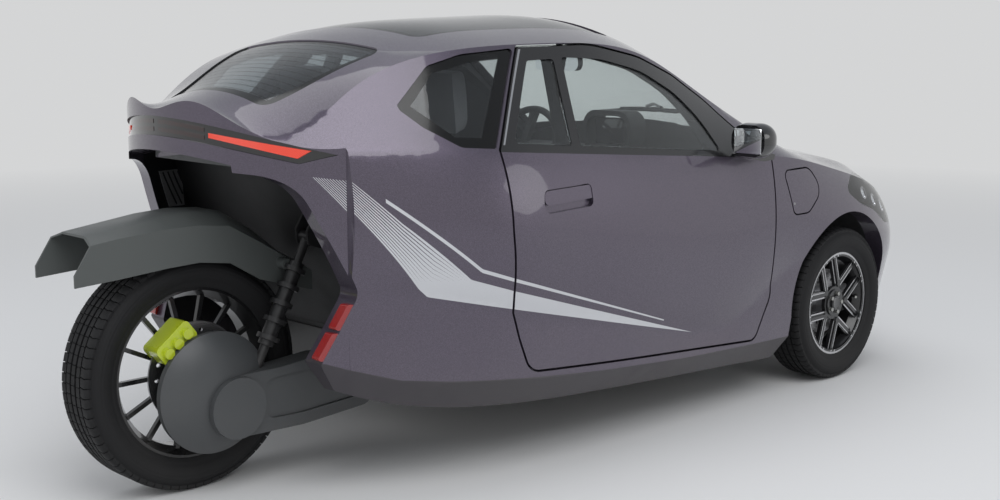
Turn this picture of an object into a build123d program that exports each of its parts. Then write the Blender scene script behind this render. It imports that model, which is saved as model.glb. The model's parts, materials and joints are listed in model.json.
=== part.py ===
from build123d import *
import math
import os

# Three wheeled electric car: two steered wheels in front, one driven wheel on a single sided arm behind.
# Millimetres, X forward, Y to the car's left, Z up, on the ground under the middle of the car's length.
# Body stations and side view points are measured ahead of the rear axle.

# Driving dimensions
wheelbase = 2400
guard_reach = 374        # rear axle to the mudguard's tip
nose_reach = 560         # front axle to the nose
front_wheel_y = 608      # middle of a front tyre
kingpin_y = 575
front_tyre_radius = 285
front_tyre_width = 165
front_rim_radius = 194
rear_tyre_radius = 340
rear_tyre_width = 165
rear_rim_radius = 246
arch_radius = 350
door_wall = 70
roof_wall = 38
floor_wall = 125
house_wall = 76          # walls of the rear wheel's house
house_roof_wall = 42
glass_inset = 4
glass_thickness = 5
shut_gap = 7             # clear gap round every panel that opens
seat_gap = 0.4           # between fixed pieces that stand side by side

rear_axle_x = guard_reach - (guard_reach + wheelbase + nose_reach) / 2
front_axle_x = rear_axle_x + wheelbase
nose_x = wheelbase + nose_reach
body_half = 900          # cutting blanks reach this far out
body_tall = 1500

# Body stations: x ahead of the rear axle, then half width and height of the sill, rocker, crease,
# waist, belt and roof rail, then the height of the top on the centre line
STATIONS = [
    (-190, 200, 430, 225, 470, 232, 560, 240, 760, 236, 960, 190, 1052, 1072),
    (20, 300, 395, 338, 450, 342, 560, 360, 760, 350, 982, 290, 1054, 1104),
    (150, 400, 345, 440, 412, 440, 560, 462, 760, 447, 980, 400, 1042, 1140),
    (300, 492, 285, 534, 358, 528, 580, 560, 740, 540, 982, 425, 1146, 1200),
    (640, 590, 222, 665, 312, 655, 515, 700, 670, 662, 968, 505, 1250, 1318),
    (850, 612, 203, 690, 290, 676, 462, 711, 640, 673, 952, 523, 1261, 1340),
    (1100, 625, 188, 702, 272, 690, 412, 716, 610, 676, 930, 535, 1262, 1350),
    (1430, 640, 172, 706, 248, 692, 332, 715, 560, 676, 905, 520, 1215, 1338),
    (1760, 645, 155, 704, 232, 692, 342, 712, 550, 676, 882, 545, 1055, 1190),
    (2040, 645, 140, 700, 222, 696, 470, 710, 580, 680, 858, 610, 905, 990),
    (2330, 640, 150, 695, 225, 708, 470, 716, 580, 664, 800, 560, 838, 884),
    (2680, 590, 185, 640, 245, 672, 400, 684, 520, 620, 712, 510, 775, 826),
    (2900, 500, 215, 560, 270, 590, 400, 596, 500, 540, 625, 440, 680, 720),
    (3020, 420, 230, 470, 280, 495, 400, 500, 470, 470, 550, 400, 600, 630),
]

os.makedirs("parts", exist_ok=True)

side = Plane(origin=(rear_axle_x, 0, 0), x_dir=(1, 0, 0), z_dir=(0, -1, 0))
plan = Plane(origin=(rear_axle_x, 0, 0))


def across(x):
    """Plane square to the car's length, x ahead of the rear axle."""
    return Plane(origin=(rear_axle_x + x, 0, 0), x_dir=(0, 1, 0), z_dir=(1, 0, 0))


def hull(side_inset, top_inset, floor_inset):
    """Solid of the whole body shape, set in from the outer skin."""
    with BuildPart() as solid:
        for (x, y_sill, z_sill, y_rocker, z_rocker, y_crease, z_crease,
                y_waist, z_waist, y_belt, z_belt, y_rail, z_rail, z_top) in STATIONS:
            sill = (y_sill - side_inset, z_sill + floor_inset)
            rocker = (y_rocker - side_inset, max(z_rocker, sill[1] + 20))
            crease = (y_crease - side_inset, max(z_crease, rocker[1] + 15))
            waist = (y_waist - side_inset, z_waist)
            belt = (y_belt - side_inset, z_belt)
            rail = (y_rail - top_inset, z_rail - top_inset)
            with BuildSketch(across(x)):
                with BuildLine():
                    Polyline((-rocker[0], rocker[1]), (-sill[0], sill[1]), sill, rocker, crease)
                    ThreePointArc(crease, waist, belt)
                    Line(belt, rail)
                    ThreePointArc(rail, (0, z_top - top_inset), (-rail[0], rail[1]))
                    Line((-rail[0], rail[1]), (-belt[0], belt[1]))
                    ThreePointArc((-belt[0], belt[1]), (-waist[0], waist[1]), (-crease[0], crease[1]))
                    Line((-crease[0], crease[1]), (-rocker[0], rocker[1]))
                make_face()
        loft()
    return solid.part


def side_blank(points, radii, near=0, far=body_half):
    """Prism of a side view outline on the car's right, from near to far off the centre line."""
    with BuildPart() as blank:
        with BuildSketch(side.offset(near)):
            with BuildLine():
                FilletPolyline(*points, radius=radii, close=True)
            make_face()
        extrude(amount=far - near)
    return blank.part


def grown_blank(points, radii, gap, near=0, far=body_half):
    """The same prism with its outline moved out by the gap."""
    with BuildPart() as blank:
        with BuildSketch(side.offset(near)):
            with BuildLine():
                FilletPolyline(*points, radius=radii, close=True)
            make_face()
            offset(amount=gap)
        extrude(amount=far - near)
    return blank.part


def plan_blank(points, radii, low=0, high=body_tall):
    """Prism of a plan outline, between two heights."""
    with BuildPart() as blank:
        with BuildSketch(plan.offset(low)):
            with BuildLine():
                FilletPolyline(*points, radius=radii, close=True)
            make_face()
        extrude(amount=high - low)
    return blank.part


def common(first, second):
    """Solid that two solids share."""
    with BuildPart() as shared:
        add(first)
        add(second, mode=Mode.INTERSECT)
    return shared.part


def less(first, *others):
    """First solid with the others cut away."""
    with BuildPart() as rest:
        add(first)
        add(others, mode=Mode.SUBTRACT)
    return rest.part


def both_sides(part):
    """A right hand piece with its mirror image on the left."""
    with BuildPart() as pair:
        add(part)
        mirror(about=Plane.XZ)
    return pair.part


def left_hand(part):
    """Mirror image of a right hand piece."""
    with BuildPart() as image:
        mirror(part, about=Plane.XZ)
    return image.part


def save(part, name):
    """Label a finished piece and write it out."""
    part.label = name
    export_step(part, f"parts/{name}.step")


# Rounded tail in plan, and the flank's swept back edge in the side view
tail_x = -60
tail_radius = 560
tail_centre = tail_x + tail_radius
tail_corner_x = 225
tail_corner_y = math.sqrt(tail_radius**2 - (tail_centre - tail_corner_x) ** 2)
flank_edge = [(110, 912), (250, 590), (160, 402), (206, 322)]
flank_radii = [130, 55, 12, 8]


def body_trim():
    """Space that the body may fill between nose and tail."""
    with BuildPart() as space:
        with BuildSketch(side):
            with BuildLine():
                Line((-400, 0), (nose_x - 60, 0))
                Line((nose_x - 60, 0), (nose_x - 45, 240))
                ThreePointArc((nose_x - 45, 240), (nose_x, 450), (nose_x - 45, 650))
                ThreePointArc((nose_x - 45, 650), (nose_x - 140, 760), (nose_x - 320, 850))
                Polyline((nose_x - 320, 850), (nose_x - 320, body_tall), (-400, body_tall), (-400, 0))
            make_face()
        extrude(amount=body_half, both=True)
        with BuildSketch(side):
            with BuildLine():
                FilletPolyline(
                    (206, 0), (nose_x + 100, 0), (nose_x + 100, body_tall), (-200, body_tall), (-200, 955), *flank_edge,
                    radius=[0, 0, 0, 0, 0, *flank_radii], close=True,
                )
            make_face()
        extrude(amount=body_half, both=True, mode=Mode.INTERSECT)
        with BuildSketch(plan):
            with BuildLine():
                ThreePointArc((tail_corner_x, -tail_corner_y), (tail_x, 0), (tail_corner_x, tail_corner_y))
                Line((tail_corner_x, tail_corner_y), (tail_corner_x + 40, body_half))
                Line((tail_corner_x + 40, body_half), (nose_x - 240, body_half))
                ThreePointArc((nose_x - 240, body_half), (nose_x, 0), (nose_x - 240, -body_half))
                Line((nose_x - 240, -body_half), (tail_corner_x + 40, -body_half))
                Line((tail_corner_x + 40, -body_half), (tail_corner_x, -tail_corner_y))
            make_face()
        extrude(amount=body_tall, mode=Mode.INTERSECT)
    return space.part


body_shape = common(hull(0, 0, 0), body_trim())

# Inside of the body: the cabin and front bay, and the rear wheel's house, open below, which overlap
# where the rear bulkhead stands. The tail's underside is arched.
bulkhead_top = (252, 1012)
bulkhead_foot = (560, 361)
shelf_low = 984
tail_front = 100
tail_arch_middle = 974
tail_arch_side = (415, 905)

inner_hull = hull(door_wall, roof_wall, floor_wall)
house_hull = hull(house_wall, house_roof_wall, -250)
with BuildPart() as cabin_side_view:
    with BuildSketch(side):
        with BuildLine():
            FilletPolyline(
                (tail_front - 40, 1020), (250, 992), (570, 300), (570, 0), (nose_x - 120, 0), (nose_x - 70, 450),
                (nose_x - 130, 650), (nose_x - 300, 820), (nose_x - 420, body_tall), (tail_front - 40, body_tall),
                radius=[0, 0, 0, 0, 0, 180, 90, 60, 0, 0], close=True,
            )
        make_face()
    extrude(amount=body_half, both=True)
cabin_space = common(inner_hull, cabin_side_view.part)

with BuildPart() as house_opening:
    with BuildSketch(side):
        with BuildLine():
            Polyline(
                (tail_front, 1040), (300, 1040), (300, 992), (573, 378), (bulkhead_foot[0], 378), (bulkhead_foot[0], 0),
                (-400, 0), (-400, 700), (tail_front, 700), close=True,
            )
        make_face()
    extrude(amount=body_half, both=True)
    with BuildSketch(across(-400)):
        with BuildLine():
            ThreePointArc(
                (-tail_arch_side[0], tail_arch_side[1]), (0, tail_arch_middle), (tail_arch_side[0], tail_arch_side[1])
            )
            Polyline(
                (tail_arch_side[0], tail_arch_side[1]), (tail_arch_side[0], 600), (-tail_arch_side[0], 600),
                (-tail_arch_side[0], tail_arch_side[1]),
            )
        make_face()
    extrude(amount=401 + tail_front)
wheel_house = common(house_hull, house_opening.part)

# Most of the body is drawn on the car's right and mirrored
right_half = side_blank([(-500, -100), (3200, -100), (3200, body_tall), (-500, body_tall)], 0)
half_walls = less(common(body_shape, right_half), cabin_space, wheel_house)

# Shut lines and openings in the side view, x ahead of the rear axle and height
door_outline = [
    (635, 970), (645, 740), (672, 560), (705, 425), (738, 326), (1822, 246), (1919, 385), (1913, 520), (1917, 866),
    (1701, 1066), (1557, 1150), (1378, 1213), (1130, 1256), (831, 1251),
]
door_radii = [0, 300, 300, 300, 50, 50, 80, 300, 12, 300, 300, 400, 500, 12]
door_inner_y = 640
jamb_top = [(560, 392), (1990, 272)]
jamb_drop = 10           # the sill's top stays this far under the door's inner foot
belt_line = [(572, 972), (1975, 862)]
rear_light_outline = [(694, 986), (925, 967), (961, 1217), (852, 1213)]
rear_light_radii = [10, 10, 10, 16]
front_light_outline = [(960, 964), (1655, 905), (1615, 1013), (1526, 1098), (1366, 1173), (1170, 1213), (996, 1221)]
front_light_radii = [10, 14, 200, 250, 400, 400, 10]
quarter_outline = [(391, 1086), (432, 1040), (516, 984), (622, 976), (815, 1250), (620, 1235), (509, 1204), (389, 1100)]
quarter_radii = [8, 60, 40, 6, 8, 200, 60, 8]
paint_line = [(100, 430), (228, 384), (345, 347), (480, 330), (662, 313), (1020, 279), (1430, 249), (1760, 233), (2050, 222)]
seam_x = 1935            # rocker meets front fender under the door's front corner

# Floor pan with the battery in a pocket of the same size and four jacking pads
floor_half = 560
floor_front_x = 2010
floor_rear_x = bulkhead_foot[0]
battery_length = 960
battery_width = 860
battery_height = 80
battery_tilt = 3.6
battery_middle = (1240, 241)
floor_block = side_blank(
    [(floor_rear_x, 0), (floor_front_x, 0), (floor_front_x, 420), (floor_rear_x, 440)], 0, 0, floor_half
)
battery_plane = Plane(
    origin=(rear_axle_x + battery_middle[0], 0, battery_middle[1]),
    x_dir=(math.cos(math.radians(battery_tilt)), 0, -math.sin(math.radians(battery_tilt))),
    z_dir=(math.sin(math.radians(battery_tilt)), 0, math.cos(math.radians(battery_tilt))),
)
with BuildPart() as battery_block:
    with BuildSketch(battery_plane.offset(-battery_height / 2)):
        Rectangle(battery_length, battery_width)
    extrude(amount=battery_height)
save(battery_block.part, "battery_block")

jack_pad = 64
jack_pad_y = 500
jack_pads = [(735, 200), (1800, 139)]    # x ahead of the rear axle and height of each pad's face
seat_riser = (1060, 500, 310, 350)        # middle, length, distance off the centre line and width
seat_riser_top = 401
with BuildPart() as floor_pan:
    add(both_sides(common(half_walls, floor_block)))
    for pad_x, pad_z in jack_pads:
        with BuildSketch(plan.offset(pad_z)):
            with Locations((pad_x, jack_pad_y), (pad_x, -jack_pad_y)):
                RectangleRounded(jack_pad, jack_pad, 8)
        extrude(amount=40)
    with BuildSketch(plan.offset(300)):
        with Locations((seat_riser[0], seat_riser[2]), (seat_riser[0], -seat_riser[2])):
            RectangleRounded(seat_riser[1], seat_riser[3], 30)
    extrude(amount=seat_riser_top - 300)
    add(battery_block.part, mode=Mode.SUBTRACT)
save(floor_pan.part, "floor_pan")

# Everything above the floor, cut into panels; ahead of the firewall the underside is open
bay_rear = floor_front_x
bay_front = nose_x - 170
bay_half = 590
bay_opening = side_blank([(bay_rear, 0), (bay_front, 0), (bay_front, 350), (bay_rear, 420)], 0, 0, bay_half)

# Front wheel arch: a round opening whose rear edge runs straight down
with BuildPart() as arch_right:
    with BuildSketch(side.offset(200)):
        with Locations((wheelbase, front_tyre_radius)):
            Circle(arch_radius)
        with BuildLine():
            Polyline(
                (wheelbase - 303, 460), (wheelbase - 400, 100), (wheelbase + arch_radius, 100),
                (wheelbase + arch_radius, front_tyre_radius), (wheelbase, front_tyre_radius + 60), close=True,
            )
        make_face()
    extrude(amount=body_half)
half_shell = less(half_walls, floor_block, bay_opening, arch_right.part)

door_blank = side_blank(door_outline, door_radii, 300)
jamb = side_blank([(560, 100), (1990, 100), jamb_top[1], jamb_top[0]], 0, 0, door_inner_y)
jamb_behind_gap = side_blank(
    [(560, 100), (1990, 100), (1990, jamb_top[1][1] - jamb_drop), (560, jamb_top[0][1] - jamb_drop)],
    0, 0, door_inner_y - shut_gap,
)
door_space = less(grown_blank(door_outline, door_radii, shut_gap, 300), jamb_behind_gap)
above_belt = side_blank([belt_line[0], belt_line[1], (belt_line[1][0], 1400), (belt_line[0][0], 1400)], 0)
sill_block = side_blank([*paint_line, (2050, 40), (100, 40)], 0)
rear_light_space = side_blank(rear_light_outline, rear_light_radii, 300)
front_light_space = side_blank(front_light_outline, front_light_radii, 300)
quarter_space = side_blank(quarter_outline, quarter_radii, 300)

# Openings in the top of the body, seen in plan
windscreen_space = plan_blank(
    [(1455, -425), (2045, -588), (2150, 0), (2045, 588), (1455, 425)], [30, 30, 900, 30, 30], 860
)
roof_glass_space = plan_blank([(600, -350), (1400, -398), (1400, 398), (600, 350)], [45, 35, 35, 45], 1150)
rear_glass_space = plan_blank([(128, -248), (480, -354), (480, 354), (128, 248)], [50, 40, 40, 50], 1050)
bonnet_outline = [(2192, -520), (2660, -500), (2800, -400), (2800, 400), (2660, 500), (2192, 520)]
bonnet_radii = [20, 200, 80, 80, 200, 20]
bonnet_blank = plan_blank(bonnet_outline, bonnet_radii, 600, 1000)
with BuildPart() as bonnet_gap_blank:
    with BuildSketch(plan.offset(600)):
        with BuildLine():
            FilletPolyline(*bonnet_outline, radius=bonnet_radii, close=True)
        make_face()
        offset(amount=shut_gap)
    extrude(amount=400)
cowl_blank = plan_blank(
    [(2062, -600), (2192 - shut_gap, -600), (2192 - shut_gap, 600), (2062, 600)], 0, 800, 1100
)

glass_outside = hull(glass_inset, glass_inset, 0)
glass_inside = hull(glass_inset + glass_thickness, glass_inset + glass_thickness, 0)


def glass_pane(space):
    """Pane that fills its opening, a little inside the body's skin."""
    return less(common(glass_outside, space), glass_inside)


save(glass_pane(windscreen_space), "windscreen")
save(glass_pane(roof_glass_space), "roof_glass")
save(glass_pane(rear_glass_space), "rear_glass")
with BuildPart() as door_glass_right:
    add(glass_pane(rear_light_space))
    add(glass_pane(front_light_space))
save(door_glass_right.part, "door_glass_right")
save(left_hand(door_glass_right.part), "door_glass_left")
save(both_sides(glass_pane(quarter_space)), "quarter_glass")

# Right hand door: panel below the belt, window frame above it with a bar between its two panes
handle_recess = [(757, 783), (975, 790), (972, 856), (768, 852)]
handle_paddle = [(763, 806), (1006, 814), (1003, 853), (772, 848)]
handle_radii = [26, 18, 18, 20]
paddle_radii = [18, 12, 12, 14]
handle_depth = 16
paddle_recess = 2
paddle_thickness = 8
handle_pocket = less(side_blank(handle_recess, handle_radii, 300), hull(handle_depth, handle_depth, 0))
paddle = less(
    common(hull(paddle_recess, paddle_recess, 0), side_blank(handle_paddle, paddle_radii, 300)),
    hull(paddle_recess + paddle_thickness, paddle_recess + paddle_thickness, 0),
)
with BuildPart() as door_panel_right:
    add(less(common(half_shell, door_blank), jamb, above_belt))
    add(handle_pocket, mode=Mode.SUBTRACT)
    add(paddle)
save(door_panel_right.part, "door_panel_right")
save(left_hand(door_panel_right.part), "door_panel_left")
door_frame_right = less(common(common(half_shell, door_blank), above_belt), rear_light_space, front_light_space)
save(door_frame_right, "door_frame_right")
save(left_hand(door_frame_right), "door_frame_left")

# Roof frame: windscreen pillars, roof rails and the header between rear glass and roof glass
roof_seam = [
    (440, 1243), (790, 1243), (1130, 1100), (1640, 1000), (1917, 868), (2075, 868), (2075, body_tall), (440, body_tall),
]
roof_space = side_blank(roof_seam, 0)
half_fixed = less(
    half_shell, door_space, windscreen_space, roof_glass_space, rear_glass_space, quarter_space
)
save(both_sides(less(common(half_fixed, roof_space), cowl_blank)), "roof_frame")
below_roof = less(half_fixed, roof_space)

# Tail across the car's width: body coloured upper part, lamp bar that follows the curve, lower lip
tail_space = side_blank([(-400, 0), (tail_front, 0), (tail_front, body_tall), (-400, body_tall)], 0)
lamp_depth = 48
lamp_recess = 6
lamp_top = (478, 974, 1069)          # half width, height at the side, height in the middle
lamp_bottom = (415, 951, 1015)
strip_top = (205, 1030, 320, 1011, 433, 986)
strip_bottom = (205, 1017, 310, 995, 410, 966)


def tail_band(inset):
    """Everything behind the tail's plan curve, set in by the inset."""
    share = (tail_radius - inset) / tail_radius
    end_x = tail_centre - (tail_centre - tail_corner_x) * share
    end_y = tail_corner_y * share
    with BuildPart() as band:
        with BuildSketch(plan.offset(800)):
            with BuildLine():
                ThreePointArc((end_x, -end_y), (tail_x + inset, 0), (end_x, end_y))
                Polyline(
                    (end_x, end_y), (end_x + 75, end_y + 113), (end_x + 75, body_half), (-600, body_half),
                    (-600, -body_half), (end_x + 75, -body_half), (end_x + 75, -end_y - 113), (end_x, -end_y),
                )
            make_face()
        extrude(amount=400)
    return band.part


with BuildPart() as lamp_slot:
    with BuildSketch(across(-400)):
        with BuildLine():
            ThreePointArc((-lamp_top[0], lamp_top[1]), (0, lamp_top[2]), (lamp_top[0], lamp_top[1]))
            Line((lamp_top[0], lamp_top[1]), (lamp_bottom[0], lamp_bottom[1]))
            ThreePointArc((lamp_bottom[0], lamp_bottom[1]), (0, lamp_bottom[2]), (-lamp_bottom[0], lamp_bottom[1]))
            Line((-lamp_bottom[0], lamp_bottom[1]), (-lamp_top[0], lamp_top[1]))
        make_face()
    extrude(amount=700)
    add(tail_band(lamp_depth), mode=Mode.INTERSECT)
with BuildPart() as red_strip_right:
    with BuildSketch(across(-400)):
        with BuildLine():
            ThreePointArc((-strip_top[0], strip_top[1]), (-strip_top[2], strip_top[3]), (-strip_top[4], strip_top[5]))
            Line((-strip_top[4], strip_top[5]), (-strip_bottom[4], strip_bottom[5]))
            ThreePointArc(
                (-strip_bottom[4], strip_bottom[5]), (-strip_bottom[2], strip_bottom[3]),
                (-strip_bottom[0], strip_bottom[1]),
            )
            Line((-strip_bottom[0], strip_bottom[1]), (-strip_top[0], strip_top[1]))
        make_face()
    extrude(amount=700)
    add(tail_band(lamp_recess + 12), mode=Mode.INTERSECT)
    add(tail_band(lamp_recess - 3), mode=Mode.SUBTRACT)
    add(body_shape, mode=Mode.INTERSECT)
red_strips = both_sides(red_strip_right.part)
lamp_bar = less(both_sides(common(half_walls, lamp_slot.part)), tail_band(lamp_recess), red_strips)
save(lamp_bar, "tail_lamp")

# Lower flank lamps stand on the flank's swept back edge
flank_lamp_depth = 14
flank_lamp_wide = 30
flank_lamps = [(566, 496), (488, 412)]   # heights of the two lenses' ends
edge_run = (flank_edge[1][0] - flank_edge[2][0]) / (flank_edge[1][1] - flank_edge[2][1])


def edge_x(z):
    """Distance ahead of the rear axle of the flank's back edge, at a height."""
    return flank_edge[2][0] + (z - flank_edge[2][1]) * edge_run


with BuildPart() as flank_lamp_right:
    for top, bottom in flank_lamps:
        with BuildSketch(side.offset(300)):
            with BuildLine():
                FilletPolyline(
                    (edge_x(top) - flank_lamp_depth, top), (edge_x(top) + 8, top), (edge_x(bottom) + 8, bottom),
                    (edge_x(bottom) - flank_lamp_depth, bottom), radius=[7, 1, 1, 7], close=True,
                )
            make_face()
        extrude(amount=500)
    add(hull(3, 3, 0), mode=Mode.INTERSECT)
    add(hull(3 + flank_lamp_wide, 3, 0), mode=Mode.SUBTRACT)
with BuildPart() as tail_lights:
    add(red_strips)
    add(both_sides(flank_lamp_right.part))
save(tail_lights.part, "tail_lights")

with BuildPart() as lip_space:
    with BuildSketch(across(-400)):
        with BuildLine():
            ThreePointArc((-lamp_bottom[0], lamp_bottom[1]), (0, lamp_bottom[2]), (lamp_bottom[0], lamp_bottom[1]))
            Polyline(
                (lamp_bottom[0], lamp_bottom[1]), (600, lamp_bottom[1]), (600, 700), (-600, 700),
                (-600, lamp_bottom[1]), (-lamp_bottom[0], lamp_bottom[1]),
            )
        make_face()
    extrude(amount=600)
plate_shelf = (55, 96, 205, 934)         # rear and front, half width and underside of the plate lamp's shelf
tail_half = less(common(below_roof, tail_space), lamp_slot.part)
with BuildPart() as tail_lip:
    add(both_sides(common(tail_half, lip_space.part)))
    with BuildSketch(plan.offset(plate_shelf[3])):
        with Locations(((plate_shelf[0] + plate_shelf[1]) / 2, 0)):
            RectangleRounded(plate_shelf[1] - plate_shelf[0], 2 * plate_shelf[2], 12)
    extrude(amount=36)
save(tail_lip.part, "tail_lip")
save(both_sides(less(tail_half, lip_space.part)), "tail_panel")

# Rear bulkhead: a plate from the tail's shelf down to the floor, with ribs and the damper's upper mount
plate_thickness = 30
damper_y = 150
damper_low = (165, 372)
damper_high = (340, 706)
damper_mount_wide = 46
with BuildPart() as rear_bulkhead:
    with BuildSketch(side):
        with BuildLine():
            FilletPolyline(
                (tail_front + seat_gap, 984), (tail_front + seat_gap, 1014), (262, 990), (604, 366), (604, 300),
                (566, 300), (566, 372), (240, 962), radius=[0, 0, 60, 0, 0, 0, 0, 40], close=True,
            )
        make_face()
    extrude(amount=body_half, both=True)
    with BuildSketch(side.offset(damper_y - damper_mount_wide / 2 - 8)):
        with BuildLine():
            Polyline((350, 778), (318, 726), (322, 686), (360, 672), (410, 670), close=True)
        make_face()
    extrude(amount=8)
    with BuildSketch(side.offset(damper_y + damper_mount_wide / 2)):
        with BuildLine():
            Polyline((350, 778), (318, 726), (322, 686), (360, 672), (410, 670), close=True)
        make_face()
    extrude(amount=8)
    add(hull(house_wall + seat_gap, house_roof_wall + seat_gap, floor_wall + seat_gap), mode=Mode.INTERSECT)
    add(floor_pan.part, mode=Mode.SUBTRACT)
save(rear_bulkhead.part, "rear_bulkhead")

# Sides: sill cladding, rear quarter with its flank, and what is ahead of the door
half_side = less(below_roof, tail_space, lamp_slot.part, flank_lamp_right.part)
save(both_sides(common(half_side, sill_block)), "sill_cladding")
quarter_side = side_blank(
    [(-400, 0), (seam_x, 0), (seam_x, 330), (1200, 700), (1200, body_tall), (-400, body_tall)], 0
)
above_sill = less(half_side, sill_block)
quarter_right = common(above_sill, quarter_side)
save(quarter_right, "quarter_right")
save(left_hand(quarter_right), "quarter_left")
front_half = less(above_sill, quarter_side)

# Front end: bonnet, cowl, headlamps, bumper with its slatted intake, and fenders
bumper_seam = [(2600, 0), (2600, 300), (2752, 330), (2730, 560), (2800, 640), (2800, 900), (3200, 900), (3200, 0)]
headlamp_outline = [
    (2400, 712), (2500, 655), (2610, 622), (2720, 560), (3000, 520), (3000, 600), (2760, 725), (2600, 760), (2480, 762),
]
headlamp_radii = [20, 200, 150, 60, 5, 5, 120, 100, 60]
headlamp_near_y = 330
intake = (300, 120, 330)                 # half width, height and middle height of the intake
slats = 4
slat_height = 10
slat_rear_x = nose_x - 104
slat_depth = 46
save(both_sides(common(half_walls, bonnet_blank)), "bonnet")
save(both_sides(less(common(half_walls, cowl_blank), windscreen_space)), "cowl_panel")
headlamp_space = side_blank(headlamp_outline, headlamp_radii, headlamp_near_y)
front_fixed = less(front_half, bonnet_gap_blank.part, cowl_blank)
save(both_sides(common(front_fixed, headlamp_space)), "headlamps")
front_panels = less(front_fixed, headlamp_space)
bumper_space = side_blank(bumper_seam, 0)
with BuildPart() as intake_space:
    with BuildSketch(across(nose_x - 200)):
        with Locations((0, intake[2])):
            RectangleRounded(2 * intake[0], intake[1], 30)
    extrude(amount=300)
with BuildPart() as front_bumper:
    add(less(both_sides(common(front_panels, bumper_space)), intake_space.part))
    for slat in range(slats):
        slat_z = intake[2] + (slat - (slats - 1) / 2) * intake[1] / slats
        with BuildSketch(plan.offset(slat_z - slat_height / 2)):
            with Locations((slat_rear_x + slat_depth / 2, 0)):
                Rectangle(slat_depth, 2 * intake[0] + 6)
        extrude(amount=slat_height)
save(front_bumper.part, "front_bumper")
fender_plain = less(front_panels, bumper_space)
save(left_hand(fender_plain), "fender_left")

# Charge flap in the right fender, hinged along its front edge
flap_outline = [(1984, 815), (2150, 815), (2215, 735), (2120, 662), (2032, 662)]
flap_radii = [20, 60, 50, 50, 25]
flap_thickness = 14
flap_gap = 5.5
flap_pocket = 36
flap_blank = side_blank(flap_outline, flap_radii, 500)
flap_opening = grown_blank(flap_outline, flap_radii, flap_gap, 500)
save(less(common(fender_plain, flap_blank), hull(flap_thickness, flap_thickness, 0)), "charge_flap")
pocket_space = less(flap_opening, hull(flap_pocket, flap_pocket, 0))
save(less(fender_plain, pocket_space), "fender_right")


# Wheels: each is drawn at its axle with the profile's first value pointing out of the car's right side
def axle_plane(x, y, z):
    """Profile plane through an axle: first axis to the car's right, second axis up."""
    return Plane(origin=(rear_axle_x + x, y, z), x_dir=(0, -1, 0), z_dir=(-1, 0, 0))


def face_plane(x, y, z):
    """Plane of a wheel's face, looking at the car's right side."""
    return Plane(origin=(rear_axle_x + x, y, z), x_dir=(1, 0, 0), z_dir=(0, -1, 0))


def axle_line(x, y, z):
    """Axis of a wheel."""
    return Axis((rear_axle_x + x, y, z), (0, -1, 0))


tyre_bulge = 2.6         # the walls' corner is rounded off by this much


def tyre(x, y, radius, width, bead):
    """Tyre ring with bulged walls and rounded shoulders."""
    half = width / 2 + tyre_bulge
    middle = (radius + bead) / 2
    with BuildPart() as ring:
        with BuildSketch(axle_plane(x, y, radius)):
            with BuildLine():
                FilletPolyline(
                    (half - 18, bead), (half, middle), (half - 9, radius), (-half + 9, radius), (-half, middle),
                    (-half + 18, bead), radius=[0, 60, 24, 24, 60, 0], close=True,
                )
            make_face()
        revolve(axis=axle_line(x, y, radius))
    return ring.part


def rim_barrel(x, y, z, radius, half):
    """Rim barrel with a bead flange at each edge and a dropped middle."""
    with BuildPart() as barrel:
        with BuildSketch(axle_plane(x, y, z)):
            with BuildLine():
                Polyline(
                    (-half, radius), (-half + 40, radius - 20), (half - 40, radius - 20), (half, radius),
                    (half, radius - 8), (half - 38, radius - 28), (-half + 38, radius - 28), (-half, radius - 8),
                    close=True,
                )
            make_face()
        revolve(axis=axle_line(x, y, z))
    return barrel.part


bead_gap = 0.3
rim_half = 64
spoke_pairs = 5
spoke_pair_offset = 39
spoke_wide = 28
spoke_ridge = 15
spoke_back = 34          # spokes' back, outward from the tyre's middle
spoke_thickness = 14
hub_radius = 62
rear_spokes = 14
rear_spoke_wide = 13
stub_radius = 25

front_tyre_right = tyre(wheelbase, -front_wheel_y, front_tyre_radius, front_tyre_width, front_rim_radius)
save(front_tyre_right, "front_tyre_right")
save(left_hand(front_tyre_right), "front_tyre_left")
save(tyre(0, 0, rear_tyre_radius, rear_tyre_width, rear_rim_radius), "rear_tyre")

right_wheel = face_plane(wheelbase, -front_wheel_y, front_tyre_radius)
spoke_reach = front_rim_radius - 10
spoke_middle = (hub_radius - 12 + spoke_reach) / 2
with BuildPart() as front_rim_right:
    add(rim_barrel(wheelbase, -front_wheel_y, front_tyre_radius, front_rim_radius - bead_gap, rim_half))
    with BuildSketch(right_wheel.offset(spoke_back)):
        with PolarLocations(0, spoke_pairs, start_angle=36):
            with Locations((spoke_middle, spoke_pair_offset), (spoke_middle, -spoke_pair_offset)):
                Rectangle(spoke_reach - hub_radius + 12, spoke_wide)
        Circle(hub_radius)
    extrude(amount=spoke_thickness)
    with BuildSketch(right_wheel.offset(spoke_back)):
        with PolarLocations(0, spoke_pairs, start_angle=36):
            with Locations((spoke_middle, spoke_pair_offset + 4), (spoke_middle, -spoke_pair_offset - 4)):
                Rectangle(spoke_reach - hub_radius + 12, spoke_ridge)
        Circle(hub_radius - 12)
    extrude(amount=spoke_thickness + 5)
    with BuildSketch(right_wheel.offset(spoke_back)):
        Circle(28)
    extrude(amount=spoke_thickness + 12)
    with BuildSketch(right_wheel.offset(rim_half - 8)):
        Circle(front_rim_radius - 2)
        Circle(front_rim_radius - 16, mode=Mode.SUBTRACT)
    extrude(amount=7)
save(front_rim_right.part, "front_rim_right")
save(left_hand(front_rim_right.part), "front_rim_left")

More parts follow.
